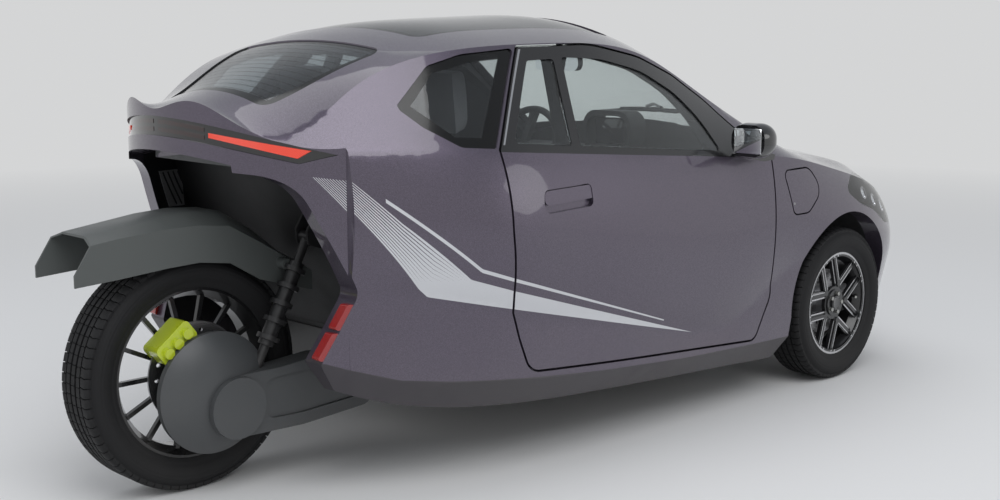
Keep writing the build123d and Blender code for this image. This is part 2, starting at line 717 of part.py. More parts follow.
rear_wheel = face_plane(0, 0, rear_tyre_radius)
rear_spoke_reach = rear_rim_radius - 12
with BuildPart() as rear_rim:
    add(rim_barrel(0, 0, rear_tyre_radius, rear_rim_radius - bead_gap, rim_half))
    with BuildSketch(rear_wheel.offset(10)):
        Circle(hub_radius)
    extrude(amount=32)
    with BuildSketch(rear_wheel.offset(24)):
        with PolarLocations(0, rear_spokes):
            with Locations(((hub_radius + rear_spoke_reach) / 2 - 6, 0)):
                Rectangle(rear_spoke_reach - hub_radius + 12, rear_spoke_wide)
    extrude(amount=14)
    with BuildSketch(rear_wheel):
        Circle(stub_radius + 2)
    extrude(amount=60, mode=Mode.SUBTRACT)
save(rear_rim.part, "rear_rim")

# Front brakes, hub carriers and double wishbones; offsets are outward from the tyre's middle
disc_radius = 122
disc_thickness = 12
disc_face = -2
hat_radius = 56
hat_bore = 44
carrier_back = -46
carrier_front = -16
with BuildPart() as front_disc_right:
    with BuildSketch(right_wheel.offset(disc_face - disc_thickness / 2)):
        Circle(disc_radius)
        Circle(hat_bore, mode=Mode.SUBTRACT)
        with PolarLocations((disc_radius + hat_radius) / 2, 12):
            Circle(6, mode=Mode.SUBTRACT)
    extrude(amount=disc_thickness)
    with BuildSketch(right_wheel.offset(disc_face)):
        Circle(hat_radius)
        Circle(hat_bore, mode=Mode.SUBTRACT)
    extrude(amount=spoke_back - disc_face)
save(front_disc_right.part, "front_disc_right")
save(left_hand(front_disc_right.part), "front_disc_left")

ball_height = 118        # ball joints above and below the axle
pin_radius = 9
carrier_radius = 50
spindle_radius = 28
steer_arm = (-52, -8, 80, 26)
caliper_wide = 46
with BuildPart() as knuckle_right:
    with BuildSketch(right_wheel.offset(carrier_back)):
        Circle(carrier_radius)
        with Locations((0, 52), (0, -52)):
            Rectangle(44, 92)
        with Locations(steer_arm[:2]):
            Rectangle(steer_arm[2], steer_arm[3])
    extrude(amount=carrier_front - carrier_back)
    with BuildSketch(right_wheel.offset(carrier_front)):
        Circle(spindle_radius)
    extrude(amount=spoke_back - 6 - carrier_front)
    with BuildSketch(Plane(origin=(front_axle_x, -kingpin_y, front_tyre_radius - ball_height))):
        Circle(pin_radius)
    extrude(amount=2 * ball_height)
    with BuildSketch(right_wheel.offset(carrier_back)):
        with Locations((118, 0)):
            RectangleRounded(caliper_wide, 104, 10)
    extrude(amount=60)
    with BuildSketch(right_wheel.offset(carrier_back)):
        with Locations((70, 0)):
            Rectangle(60, 30)
    extrude(amount=carrier_front - carrier_back)
    with BuildSketch(right_wheel.offset(disc_face - disc_thickness / 2 - 2)):
        Circle(disc_radius + 4)
        Circle(spindle_radius + 4, mode=Mode.SUBTRACT)
    extrude(amount=disc_thickness + 4, mode=Mode.SUBTRACT)
save(knuckle_right.part, "knuckle_right")
save(left_hand(knuckle_right.part), "knuckle_left")

arm_thickness = 20
arm_spread = 150
arm_root_y = 330
rail_wide = 52
rail_y = arm_root_y - 4 - rail_wide / 2
pin_gap = 0.6
lower_arm_z = front_tyre_radius - ball_height - pin_gap - arm_thickness
upper_arm_z = front_tyre_radius + ball_height + pin_gap
wishbone_outline = [
    (wheelbase + 22, -kingpin_y - 18), (wheelbase + arm_spread, -arm_root_y + 4),
    (wheelbase + arm_spread - 38, -arm_root_y + 4), (wheelbase, -kingpin_y + 52),
    (wheelbase - arm_spread + 38, -arm_root_y + 4), (wheelbase - arm_spread, -arm_root_y + 4),
    (wheelbase - 22, -kingpin_y - 18),
]
damper_front_y = 440
wishbone_radii = [14, 0, 0, 12, 0, 0, 14]
lower_outline = [*wishbone_outline[:3], (wheelbase, -damper_front_y + 44), *wishbone_outline[4:]]
with BuildPart() as control_arms:
    add(plan_blank(lower_outline, wishbone_radii, lower_arm_z, lower_arm_z + arm_thickness))
    add(plan_blank(wishbone_outline, wishbone_radii, upper_arm_z, upper_arm_z + arm_thickness))
    mirror(about=Plane.XZ)
save(control_arms.part, "control_arms")

frame_outline = [
    (floor_front_x + 31, 190), (2230, 140), (2560, 140), (2740, 220), (2788, 220), (2788, 320), (2740, 330),
    (2600, 440), (2220, 440), (floor_front_x + 31, 330),
]
frame_window = (wheelbase, 290, 220, 130)
cross_members = (2270, 2560)
tower_top = 632          # underside of the towers that carry the front dampers
tower_plate = 18
with BuildPart() as front_frame:
    with BuildSketch(side.offset(rail_y - rail_wide / 2)):
        with BuildLine():
            FilletPolyline(*frame_outline, radius=[0, 20, 20, 20, 0, 0, 20, 30, 30, 0], close=True)
        make_face()
        with Locations(frame_window[:2]):
            RectangleRounded(frame_window[2], frame_window[3], 24, mode=Mode.SUBTRACT)
    extrude(amount=rail_wide)
    mirror(about=Plane.XZ)
    with BuildSketch(side):
        with Locations(*[(member_x, 175) for member_x in cross_members]):
            RectangleRounded(50, 50, 8)
    extrude(amount=rail_y, both=True)
    for tower_side in (1, -1):
        with BuildSketch(plan.offset(tower_top)):
            with Locations((wheelbase, tower_side * (rail_y + damper_front_y + 20) / 2)):
                RectangleRounded(96, damper_front_y + 70 - rail_y, 12)
        extrude(amount=tower_plate)
        with BuildSketch(plan.offset(430)):
            with Locations((wheelbase, tower_side * rail_y)):
                Rectangle(70, rail_wide - 10)
        extrude(amount=tower_top + tower_plate / 2 - 430)
save(front_frame.part, "front_frame")

# Front dampers stand on the lower arms
spring_turns = 6
spring_start = 372
spring_pitch = 32
with BuildPart() as front_dampers:
    with BuildSketch(Plane(origin=(front_axle_x, -damper_front_y, lower_arm_z + arm_thickness))):
        Circle(16)
    extrude(amount=tower_top - lower_arm_z - arm_thickness)
    with BuildSketch(Plane(origin=(front_axle_x, -damper_front_y, 250))):
        Circle(24)
    extrude(amount=spring_start + spring_turns * spring_pitch - 250)
    for turn in range(spring_turns):
        with BuildSketch(Plane(origin=(front_axle_x, -damper_front_y, spring_start + turn * spring_pitch))):
            Circle(34)
        extrude(amount=spring_pitch / 2)
    mirror(about=Plane.XZ)
save(front_dampers.part, "front_dampers")

# Rear brake, axle, single sided arm with its drive housing, damper and mudguard
arm_inner = 118
arm_outer = 196
arm_outline = [
    (60, 345), (197, 344), (347, 356), (470, 340), (548, 292), (548, 208), (525, 175), (280, 159), (50, 165),
]
arm_radii = [0, 60, 120, 60, 26, 26, 60, 300, 0]
arm_end = (50, 255)
arm_end_radius = 88
arm_groove = [(150, 318), (345, 322), (470, 300), (500, 236), (470, 206), (280, 196), (150, 200)]
arm_groove_radii = [30, 60, 40, 26, 26, 80, 30]
arm_groove_depth = 7
arm_pivot = (520, 250)
pivot_radius = 12
pivot_gap = 0.4
housing_middle = (16, 294)
housing_radius = 172
housing_thickness = 24
dome_radius = 175
dome_peak = 194
with BuildPart() as rear_disc:
    with BuildSketch(rear_wheel.offset(62)):
        Circle(150)
        Circle(60, mode=Mode.SUBTRACT)
        with PolarLocations(125, 18):
            Circle(6, mode=Mode.SUBTRACT)
        with PolarLocations(100, 18, start_angle=10):
            Circle(6, mode=Mode.SUBTRACT)
    extrude(amount=6)
    with BuildSketch(rear_wheel.offset(42)):
        Circle(66)
        Circle(40, mode=Mode.SUBTRACT)
    extrude(amount=26)
save(rear_disc.part, "rear_disc")
with BuildPart() as rear_axle:
    with BuildSketch(rear_wheel.offset(10)):
        Circle(stub_radius)
    extrude(amount=arm_inner - 10)
save(rear_axle.part, "rear_axle")

with BuildPart() as swingarm:
    with BuildSketch(side.offset(arm_inner)):
        with Locations(housing_middle):
            Circle(housing_radius)
    extrude(amount=housing_thickness)
    with BuildSketch(side.offset(arm_inner)):
        with BuildLine():
            FilletPolyline(*arm_outline, radius=arm_radii, close=True)
        make_face()
    extrude(amount=arm_outer - arm_inner)
    with BuildSketch(side.offset(arm_inner)):
        with Locations(arm_end):
            Circle(arm_end_radius)
    extrude(amount=arm_outer - arm_inner + 18)
    with BuildSketch(side.offset(arm_outer - arm_groove_depth)):
        with BuildLine():
            FilletPolyline(*arm_groove, radius=arm_groove_radii, close=True)
        make_face()
    extrude(amount=60, mode=Mode.SUBTRACT)
    with BuildSketch(side.offset(arm_inner - 10)):
        with Locations(arm_pivot):
            Circle(pivot_radius + pivot_gap)
    extrude(amount=arm_outer, mode=Mode.SUBTRACT)
save(swingarm.part, "swingarm")
with BuildPart() as hub_cover:
    with BuildSketch(axle_plane(housing_middle[0], 0, housing_middle[1])):
        with BuildLine():
            Line((arm_inner + housing_thickness, 0), (arm_inner + housing_thickness, dome_radius))
            ThreePointArc((arm_inner + housing_thickness, dome_radius), (dome_peak - 14, 112), (dome_peak, 0))
            Line((dome_peak, 0), (arm_inner + housing_thickness, 0))
        make_face()
    revolve(axis=axle_line(housing_middle[0], 0, housing_middle[1]))
    add(swingarm.part, mode=Mode.SUBTRACT)
save(hub_cover.part.solids().sort_by(SortBy.VOLUME)[-1], "hub_cover")

caliper_angle = 128
caliper_reach = 138
caliper_pistons = 3
with BuildPart() as brake_caliper:
    with BuildSketch(rear_wheel.offset(46)):
        with PolarLocations(0, 1, start_angle=caliper_angle):
            with Locations((caliper_reach, 0)):
                RectangleRounded(64, 126, 14)
    extrude(amount=arm_inner - 46)
    with BuildSketch(rear_wheel.offset(arm_inner - 46)):
        with PolarLocations(0, 1, start_angle=caliper_angle):
            with Locations(*[(caliper_reach, (piston - 1) * 38) for piston in range(caliper_pistons)]):
                Circle(15)
    extrude(amount=arm_inner + 12 - (arm_inner - 46))
    with BuildSketch(rear_wheel.offset(57)):
        Circle(156)
    extrude(amount=16, mode=Mode.SUBTRACT)
    add(swingarm.part, mode=Mode.SUBTRACT)
save(brake_caliper.part, "brake_caliper")

rings = 5
ring_radius = 34
ring_tube = 7
damper_foot = Vector(rear_axle_x + damper_low[0], -damper_y, damper_low[1])
damper_head = Vector(rear_axle_x + damper_high[0], -damper_y, damper_high[1])
damper_line = damper_head - damper_foot
ring_start = 0.16
ring_end = 0.72
with BuildPart() as shock_absorber:
    with BuildSketch(Plane(origin=damper_foot - damper_line.normalized() * 30, z_dir=damper_line)):
        Circle(14)
    extrude(amount=damper_line.length + 30)
    with BuildSketch(Plane(origin=damper_foot + damper_line * 0.1, z_dir=damper_line)):
        Circle(23)
    extrude(amount=damper_line.length * 0.68)
    for ring in range(rings):
        share = ring_start + (ring_end - ring_start) * ring / (rings - 1)
        with BuildSketch(Plane(origin=damper_foot + damper_line * share, z_dir=damper_line).offset(-ring_tube)):
            Circle(ring_radius)
        extrude(amount=2 * ring_tube)
    with BuildSketch(side.offset(damper_y - damper_mount_wide / 2 + 1)):
        with Locations(damper_high):
            Circle(17)
    extrude(amount=damper_mount_wide - 2)
    add([swingarm.part, hub_cover.part, rear_bulkhead.part], mode=Mode.SUBTRACT)
save(shock_absorber.part.solids().sort_by(SortBy.VOLUME)[-1], "shock_absorber")

# Mudguard: a lofted shell with a crease along each side and a slanted tip
guard_half = 112
guard_top_half = 60
guard_wall = 6
GUARD_STATIONS = [
    (-385, 640, 740, 757), (-250, 648, 757, 775), (-100, 660, 768, 795), (0, 664, 768, 801),
    (100, 650, 757, 795), (200, 590, 700, 735), (300, 560, 640, 655), (400, 530, 585, 600),
]    # x, height of the lower edge, of the side crease and of the top
guard_trim = [(-guard_reach, 673), (-315, 762), (-315, 900), (382, 900), (382, 400), (-guard_reach, 400)]


def guard_loft(inset, drop):
    """Solid mudguard shape, set in by the inset and open below by the drop."""
    with BuildPart() as solid:
        for x, low, crease, top in GUARD_STATIONS:
            with BuildSketch(across(x)):
                with BuildLine():
                    Polyline(
                        (-guard_half + inset, low - drop), (-guard_half + inset, crease - inset / 2),
                        (-guard_top_half, top - inset), (guard_top_half, top - inset),
                        (guard_half - inset, crease - inset / 2), (guard_half - inset, low - drop), close=True,
                    )
                make_face()
        loft(ruled=True)
    return solid.part


guard_mount = (270, 631)
guard_mount_radius = 15
with BuildPart() as rear_mudguard:
    add(guard_loft(0, 0))
    add(guard_loft(guard_wall, 60), mode=Mode.SUBTRACT)
    add(side_blank(guard_trim, 0, -200, 200), mode=Mode.INTERSECT)
    with BuildSketch(side.offset(guard_half - guard_wall)):
        with Locations(guard_mount):
            Circle(guard_mount_radius)
    extrude(amount=damper_y - 4 - guard_half + guard_wall)
    add(shock_absorber.part, mode=Mode.SUBTRACT)
save(rear_mudguard.part, "rear_mudguard")

# Brackets behind the floor that carry the arm's pivot
bracket_thickness = 14
bracket_outline = [(floor_rear_x - 8, 330), (505, 300), (484, 262), (484, 232), (520, 200), (floor_rear_x - 8, 238)]
with BuildPart() as arm_brackets:
    for bracket_y in (arm_inner - 2 - bracket_thickness, arm_outer + 2):
        with BuildSketch(side.offset(bracket_y)):
            with BuildLine():
                FilletPolyline(*bracket_outline, radius=[0, 20, 20, 20, 30, 0], close=True)
            make_face()
        extrude(amount=bracket_thickness)
    with BuildSketch(side.offset(arm_inner - 2 - bracket_thickness - 6)):
        with Locations(arm_pivot):
            Circle(pivot_radius)
    extrude(amount=arm_outer - arm_inner + 2 * bracket_thickness + 16)
    with BuildSketch(side.offset(arm_inner - 34)):
        with BuildLine():
            Polyline(
                (floor_rear_x - 9, 340), (floor_rear_x - seat_gap, 340), (floor_rear_x - seat_gap, 250),
                (floor_rear_x - 9, 250), close=True,
            )
        make_face()
    extrude(amount=arm_outer - arm_inner + 68)
save(arm_brackets.part, "arm_brackets")

# Arches inside the front wheel openings, and the firewall
liner_inner_y = 395
liner_wall = 4
with BuildPart() as wheel_liners:
    with BuildSketch(side.offset(liner_inner_y)):
        with Locations((wheelbase, front_tyre_radius)):
            Circle(arch_radius + liner_wall)
            Circle(arch_radius, mode=Mode.SUBTRACT)
        with Locations((wheelbase, front_tyre_radius - 2 * arch_radius + 40)):
            Rectangle(4 * arch_radius, 2 * arch_radius, mode=Mode.SUBTRACT)
    extrude(amount=260)
    add(cabin_space, mode=Mode.INTERSECT)
    add(front_frame.part, mode=Mode.SUBTRACT)
    mirror(about=Plane.XZ)
save(wheel_liners.part, "wheel_liners")
firewall_thickness = 28
firewall_blank = side_blank(
    [(floor_front_x + 1, 0), (floor_front_x + 1 + firewall_thickness, 0),
     (floor_front_x + 1 + firewall_thickness, body_tall), (floor_front_x + 1, body_tall)], 0, 0, 560
)
with BuildPart() as firewall:
    add(both_sides(firewall_blank))
    add(hull(door_wall + 1, roof_wall + 1, 12), mode=Mode.INTERSECT)
save(firewall.part, "firewall")

# Cabin: dashboard, instrument hoop, steering, seats, inner mirror
dash_outline = [
    (1790, 640), (1748, 790), (1830, 852), (1990, 862), (floor_front_x, 846), (floor_front_x, 540), (1860, 540),
]
with BuildPart() as dashboard:
    add(both_sides(side_blank(dash_outline, [30, 34, 60, 20, 0, 0, 60], 0, 620)))
    add(hull(door_wall + 8, roof_wall + 3, 0), mode=Mode.INTERSECT)
save(dashboard.part, "dashboard")

hoop_wide = 236
hoop_tall = 158
hoop_wall = 20
hoop_depth = 92
with BuildPart() as instrument_hoop:
    with BuildSketch(across(1836)):
        with Locations((0, 926)):
            RectangleRounded(hoop_wide, hoop_tall, 62)
            RectangleRounded(hoop_wide - 2 * hoop_wall, hoop_tall - 2 * hoop_wall, 46, mode=Mode.SUBTRACT)
    extrude(amount=hoop_depth)
    add(dashboard.part, mode=Mode.SUBTRACT)
save(instrument_hoop.part.solids().sort_by(SortBy.VOLUME)[-1], "instrument_hoop")

wheel_hub = Vector(rear_axle_x + 1690, 300, 850)
column_slope = Vector(-0.9, 0, 0.42)
wheel_plane = Plane(origin=wheel_hub, x_dir=(0, 1, 0), z_dir=column_slope)
grip_radius = 168
grip_tube = 13
with BuildPart() as steering_wheel:
    with BuildSketch(Plane(origin=wheel_hub, x_dir=(0, 1, 0), z_dir=wheel_plane.x_dir.cross(wheel_plane.z_dir))):
        with Locations((grip_radius, 0)):
            Circle(grip_tube)
    revolve(axis=Axis(wheel_hub, column_slope))
    with BuildSketch(wheel_plane.offset(-16)):
        Circle(44)
        Rectangle(2 * grip_radius - 6, 26)
        with Locations((0, -80)):
            Rectangle(30, 160)
    extrude(amount=22)
save(steering_wheel.part, "steering_wheel")
with BuildPart() as steering_column:
    with BuildSketch(wheel_plane.offset(-22)):
        Circle(24)
    extrude(amount=-150)
    add(dashboard.part, mode=Mode.SUBTRACT)
save(steering_column.part.solids().sort_by(SortBy.VOLUME)[-1], "steering_column")

seat_y = 310
seat_half = 215
seat_low = seat_riser_top + seat_gap
cushion_outline = [(930, seat_low), (915, 520), (1340, 545), (1370, 480), (1340, seat_low)]
back_outline = [(800, seat_low), (905, seat_low), (912, 530), (770, 990), (690, 985)]
rest_outline = [(770, 985), (745, 1180), (665, 1180), (690, 975)]
save(
    both_sides(side_blank(cushion_outline, [20, 40, 40, 30, 20], seat_y - seat_half, seat_y + seat_half)),
    "seat_cushions",
)
save(
    both_sides(
        side_blank(back_outline, [20, 20, 20, 30, 30], seat_y - seat_half + 10, seat_y + seat_half - 10)
        + side_blank(rest_outline, [20, 30, 30, 20], seat_y - 120, seat_y + 120)
    ),
    "seat_backs",
)

with BuildPart() as cabin_mirror:
    with BuildSketch(across(1560)):
        with Locations((0, 1190)):
            RectangleRounded(210, 62, 24)
    extrude(amount=26)
    with BuildSketch(across(1572)):
        with Locations((0, 1240)):
            Rectangle(22, 140)
    extrude(amount=12)
    add(glass_inside, mode=Mode.INTERSECT)
save(cabin_mirror.part, "cabin_mirror")

# Door mirrors: a rounded head on a foot that stands on the door
head_middle = (-759, 943)
head_stations = [(1668, 130, 104, 42), (1690, 138, 114, 48), (1740, 126, 100, 44), (1762, 84, 62, 28)]
with BuildPart() as mirror_head:
    for x, wide, tall, corner in head_stations:
        with BuildSketch(across(x)):
            with Locations(head_middle):
                RectangleRounded(wide, tall, corner)
    loft()
foot_outline = [(1700, 893), (1748, 905), (1856, 886), (1850, 868), (1790, 866), (1720, 880)]
foot = side_blank(foot_outline, [6, 20, 4, 4, 10, 10], 640, 740)
with BuildPart() as door_mirror_right:
    add(mirror_head.part)
    add(foot)
    add(hull(0, 0, 0), mode=Mode.SUBTRACT)
mirror_piece = door_mirror_right.part.solids().sort_by(SortBy.VOLUME)[-1]
save(mirror_piece, "door_mirror_right")
save(left_hand(mirror_piece), "door_mirror_left")
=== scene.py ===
import bmesh
import bpy
import json
import math
from bpy.props import FloatProperty, FloatVectorProperty, IntProperty
from mathutils import Matrix, Vector
from mathutils.bvhtree import BVHTree


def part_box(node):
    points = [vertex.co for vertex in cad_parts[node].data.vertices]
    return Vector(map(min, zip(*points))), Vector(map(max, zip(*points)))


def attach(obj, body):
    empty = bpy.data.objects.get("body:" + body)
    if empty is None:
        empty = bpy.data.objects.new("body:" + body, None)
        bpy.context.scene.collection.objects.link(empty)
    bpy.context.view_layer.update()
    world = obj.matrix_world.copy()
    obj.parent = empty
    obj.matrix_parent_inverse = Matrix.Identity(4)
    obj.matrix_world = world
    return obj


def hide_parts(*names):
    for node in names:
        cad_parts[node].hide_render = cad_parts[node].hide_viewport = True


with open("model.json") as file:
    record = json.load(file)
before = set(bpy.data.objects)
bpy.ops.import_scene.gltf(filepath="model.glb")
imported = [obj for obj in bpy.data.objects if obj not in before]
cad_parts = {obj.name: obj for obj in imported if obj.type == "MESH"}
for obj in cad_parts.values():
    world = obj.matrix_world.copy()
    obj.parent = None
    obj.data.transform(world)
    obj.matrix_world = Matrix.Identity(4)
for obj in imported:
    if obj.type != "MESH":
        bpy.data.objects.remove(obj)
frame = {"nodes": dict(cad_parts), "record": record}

bl_info = {
    "name": "Three wheeled car",
    "version": (1, 0, 0),
    "blender": (4, 5, 0),
    "location": "3D View > Sidebar > Car",
    "description": "Dresses the car's frame with panels, lamps, tyres, seats and their finishes",
    "category": "Object",
}

SLOT_OF = {sub["node"]: sub["material_slot"] for sub in frame["record"]["subparts"]}
BODY_OF = {
    node: body for body, nodes in frame["record"]["behaviour"]["bodies"].items() for node in nodes
}


def box_middle(node):
    """Middle of a node's box."""
    low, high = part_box(node)
    return (low + high) / 2


REAR_HUB = box_middle("rear_tyre")
FRONT_HUB = box_middle("front_tyre_right")
REAR_AXLE_X = REAR_HUB.x


def at(x, y, z):
    """Point from millimetres ahead of the rear axle, to the left and above the ground."""
    return Vector((REAR_AXLE_X + x / 1000, y / 1000, z / 1000))


# Node graph helpers
class Graph:
    """Adds nodes to a tree; inputs are values or sockets to link."""

    def __init__(self, tree):
        self.tree = tree

    def put(self, socket, value):
        """Set or link one input."""
        if isinstance(value, bpy.types.NodeSocket):
            self.tree.links.new(value, socket)
        elif value is not None:
            socket.default_value = value

    def add(self, kind, *values, **settings):
        """New node with its settings and its first inputs."""
        node = self.tree.nodes.new(kind)
        for key, value in settings.items():
            setattr(node, key, value)
        for socket, value in zip(node.inputs, values):
            self.put(socket, value)
        return node

    def calc(self, operation, *values):
        """Result of one sum or comparison."""
        return self.add("ShaderNodeMath", *values, operation=operation).outputs[0]

    def times(self, first, second):
        """Product of two values."""
        return self.calc("MULTIPLY", first, second)

    def minus(self, first, second):
        """First value less the second."""
        return self.calc("SUBTRACT", first, second)

    def vector(self, operation, first, second=None, scale=None):
        """Result of one vector sum."""
        node = self.add("ShaderNodeVectorMath", first, second, operation=operation)
        if scale is not None:
            self.put(node.inputs[3], scale)
        return node.outputs["Value" if operation in ("DOT_PRODUCT", "LENGTH") else "Vector"]

    def ramp(self, value, low, high, start=0.0, end=1.0):
        """Value carried from one range to another, held at the ends."""
        return self.add("ShaderNodeMapRange", value, low, high, start, end).outputs[0]

    def step(self, value, soft=0.0004):
        """0 below nought and 1 above it, with a soft edge."""
        return self.ramp(value, -soft, soft)

    def between(self, value, low, high):
        """1 between two limits, 0 outside them."""
        above, below = self.calc("GREATER_THAN", value, low), self.calc("LESS_THAN", value, high)
        return self.times(above, below)

    def colours(self, factor, first, second):
        """Blend of two colours."""
        node = self.add("ShaderNodeMix", data_type="RGBA")
        self.put(node.inputs[0], factor)
        self.put(node.inputs[6], first)
        self.put(node.inputs[7], second)
        return node.outputs[2]

    def place(self):
        """Object coordinates, whole and as x ahead of the rear axle, y and z."""
        whole = self.add("ShaderNodeTexCoord").outputs["Object"]
        parts = self.add("ShaderNodeSeparateXYZ", whole).outputs
        return whole, self.minus(parts[0], REAR_AXLE_X), parts[1], parts[2]

    def normal(self):
        """The surface's normal as x, y and z."""
        return self.add("ShaderNodeSeparateXYZ", self.add("ShaderNodeNewGeometry").outputs["Normal"]).outputs

    def from_axle(self, x, z, axle_x, axle_z):
        """Offsets from an axle and the distance from it."""
        dx, dz = self.minus(x, axle_x), self.minus(z, axle_z)
        squares = self.calc("ADD", self.times(dx, dx), self.times(dz, dz))
        return dx, dz, self.calc("SQRT", squares)

    def line(self, value, points, reach=1.6, rise=1.2):
        """Height of a broken line over the value; points in millimetres, inside the reach and rise."""
        node = self.add("ShaderNodeFloatCurve")
        self.put(node.inputs["Value"], self.calc("DIVIDE", value, reach))
        curve = node.mapping.curves[0]
        spots = [(x / 1000 / reach, z / 1000 / rise) for x, z in points]
        curve.points[0].location = spots[0]
        curve.points[1].location = spots[-1]
        for spot in spots[1:-1]:
            curve.points.new(*spot)
        for point in curve.points:
            point.handle_type = "VECTOR"
        node.mapping.update()
        return self.times(node.outputs[0], rise)

    def inside(self, across, up, points):
        """1 inside a convex outline given in millimetres, 0 outside it."""
        turn = sum(
            (points[i][0] - points[i - 1][0]) * (points[i][1] + points[i - 1][1]) for i in range(len(points))
        )
        nearest = None
        for (ax, az), (bx, bz) in zip(points, points[1:] + points[:1]):
            length = math.hypot(bx - ax, bz - az) * (1 if turn < 0 else -1)
            nx, nz = (az - bz) / length, (bx - ax) / length
            reach = self.calc(
                "ADD",
                self.times(across, nx),
                self.calc("MULTIPLY_ADD", up, nz, -(ax * nx + az * nz) / 1000),
            )
            nearest = reach if nearest is None else self.calc("MINIMUM", nearest, reach)
        return self.step(nearest)


def node_group(name, inputs, outputs):
    """Empty shader node group with its sockets."""
    tree = bpy.data.node_groups.new(name, "ShaderNodeTree")
    for label, value in inputs.items():
        tree.interface.new_socket(label, in_out="INPUT", socket_type="NodeSocketFloat").default_value = value
    for label, kind in outputs.items():
        tree.interface.new_socket(label, in_out="OUTPUT", socket_type=kind)
    graph = Graph(tree)
    return graph, graph.add("NodeGroupInput").outputs, graph.add("NodeGroupOutput").inputs


VALUE, VECTOR = "NodeSocketFloat", "NodeSocketVector"


DUST_TOP = 0.5


def make_surface_group():
    """Fine grain, broad smudges and dust that settles low down and on upward faces."""
    graph, given, result = node_group(
        "surface", {"Grain scale": 900.0, "Dust": 1.0}, {"Grain": VALUE, "Smudge": VALUE, "Dust": VALUE}
    )
    whole, _, _, z = graph.place()
    grain = graph.add("ShaderNodeTexNoise", whole, None, given["Grain scale"], 3.0).outputs[0]
    smudge = graph.add("ShaderNodeTexNoise", whole, None, 5.0, 5.0).outputs[0]
    low = graph.ramp(z, DUST_TOP, 0.02)
    settled = graph.times(low, graph.ramp(graph.normal()[2], -0.4, 1.0, 0.35, 1.0))
    graph.put(result["Grain"], grain)
    graph.put(result["Smudge"], smudge)
    patchy = graph.times(settled, graph.ramp(smudge, 0.35, 0.65, 0.2, 1.0))
    graph.put(result["Dust"], graph.times(patchy, given["Dust"]))


def make_flake_group():
    """Metal flakes: a tint for each and a normal that turns a little from flake to flake."""
    graph, given, result = node_group(
        "flakes", {"Scale": 900.0, "Turn": 0.16}, {"Tint": VALUE, "Normal": VECTOR}
    )
    whole = graph.place()[0]
    cells = graph.add("ShaderNodeTexVoronoi", whole)
    graph.put(cells.inputs["Scale"], given["Scale"])
    turned = graph.vector("SUBTRACT", cells.outputs["Color"], (0.5, 0.5, 0.5))
    turned = graph.vector("SCALE", turned, scale=given["Turn"])
    normal = graph.vector("ADD", graph.add("ShaderNodeNewGeometry").outputs["Normal"], turned)
    graph.put(result["Normal"], graph.vector("NORMALIZE", normal))
    graph.put(result["Tint"], graph.add("ShaderNodeSeparateColor", cells.outputs["Color"]).outputs[0])


# Side stripes, in millimetres ahead of the rear axle and above the ground
BAND_LOW = [(148, 917), (226, 818), (393, 601), (421, 575), (682, 514), (1481, 324)]
BAND_HIGH = [(225, 905), (338, 787), (527, 618), (664, 572), (998, 470), (1481, 324)]
THIN_LINE = [(300, 851), (418, 753), (553, 642), (656, 606), (1325, 389)]
BAND_TOP = 0.9402  # height of the band's upper end at the rear axle, in metres
BAND_TOP_SLOPE = 0.156
FINE_LINES = (0.60, 0.90, 1.04, 0.30)  # heights in metres where the band thins, and its share at each
THIN_LINE_HALF = (0.60, 1.32, 0.0052, 0.0022)  # metres ahead where the line tapers, and its half width


def make_stripe_group():
    """Side stripes: a broad band that starts as fine lines, and a thin line over it."""
    graph, given, result = node_group("stripes", {"Lines": 12.0}, {"Mask": VALUE})
    _, x, y, z = graph.place()
    low, high, thin = (graph.line(x, points) for points in (BAND_LOW, BAND_HIGH, THIN_LINE))
    above = graph.minus(z, low)
    below = graph.minus(high, z)
    band = graph.times(graph.step(above), graph.step(below))
    top = graph.minus(BAND_TOP, graph.calc("MULTIPLY_ADD", x, BAND_TOP_SLOPE, z))
    band = graph.times(band, graph.step(top))
    band = graph.times(band, graph.calc("LESS_THAN", x, BAND_LOW[-1][0] / 1000))
    share = graph.calc("DIVIDE", below, graph.calc("ADD", above, below))
    phase = graph.calc("FRACT", graph.times(share, given["Lines"]))
    band = graph.times(band, graph.calc("LESS_THAN", phase, graph.ramp(z, *FINE_LINES)))
    off = graph.calc("ABSOLUTE", graph.minus(z, thin))
    line = graph.step(graph.minus(graph.ramp(x, *THIN_LINE_HALF), off))
    line = graph.times(line, graph.between(x, THIN_LINE[0][0] / 1000, THIN_LINE[-1][0] / 1000))
    facing = graph.times(graph.normal()[1], graph.calc("SIGN", y))
    outward = graph.calc("GREATER_THAN", facing, 0.2)
    graph.put(result["Mask"], graph.times(graph.calc("MAXIMUM", band, line), outward))


def make_turned_group():
    """Fine rings that a lathe leaves round an axle, as a value."""
    graph, given, result = node_group("turned", {"Axle x": 0.0, "Axle z": 0.3}, {"Rings": VALUE})
    _, x, _, z = graph.place()
    radius = graph.from_axle(x, z, given["Axle x"], given["Axle z"])[2]
    graph.put(result["Rings"], graph.add("ShaderNodeTexNoise", radius, None, 1800.0, 2.0).outputs[0])


# Finishes
LOOKS = {}


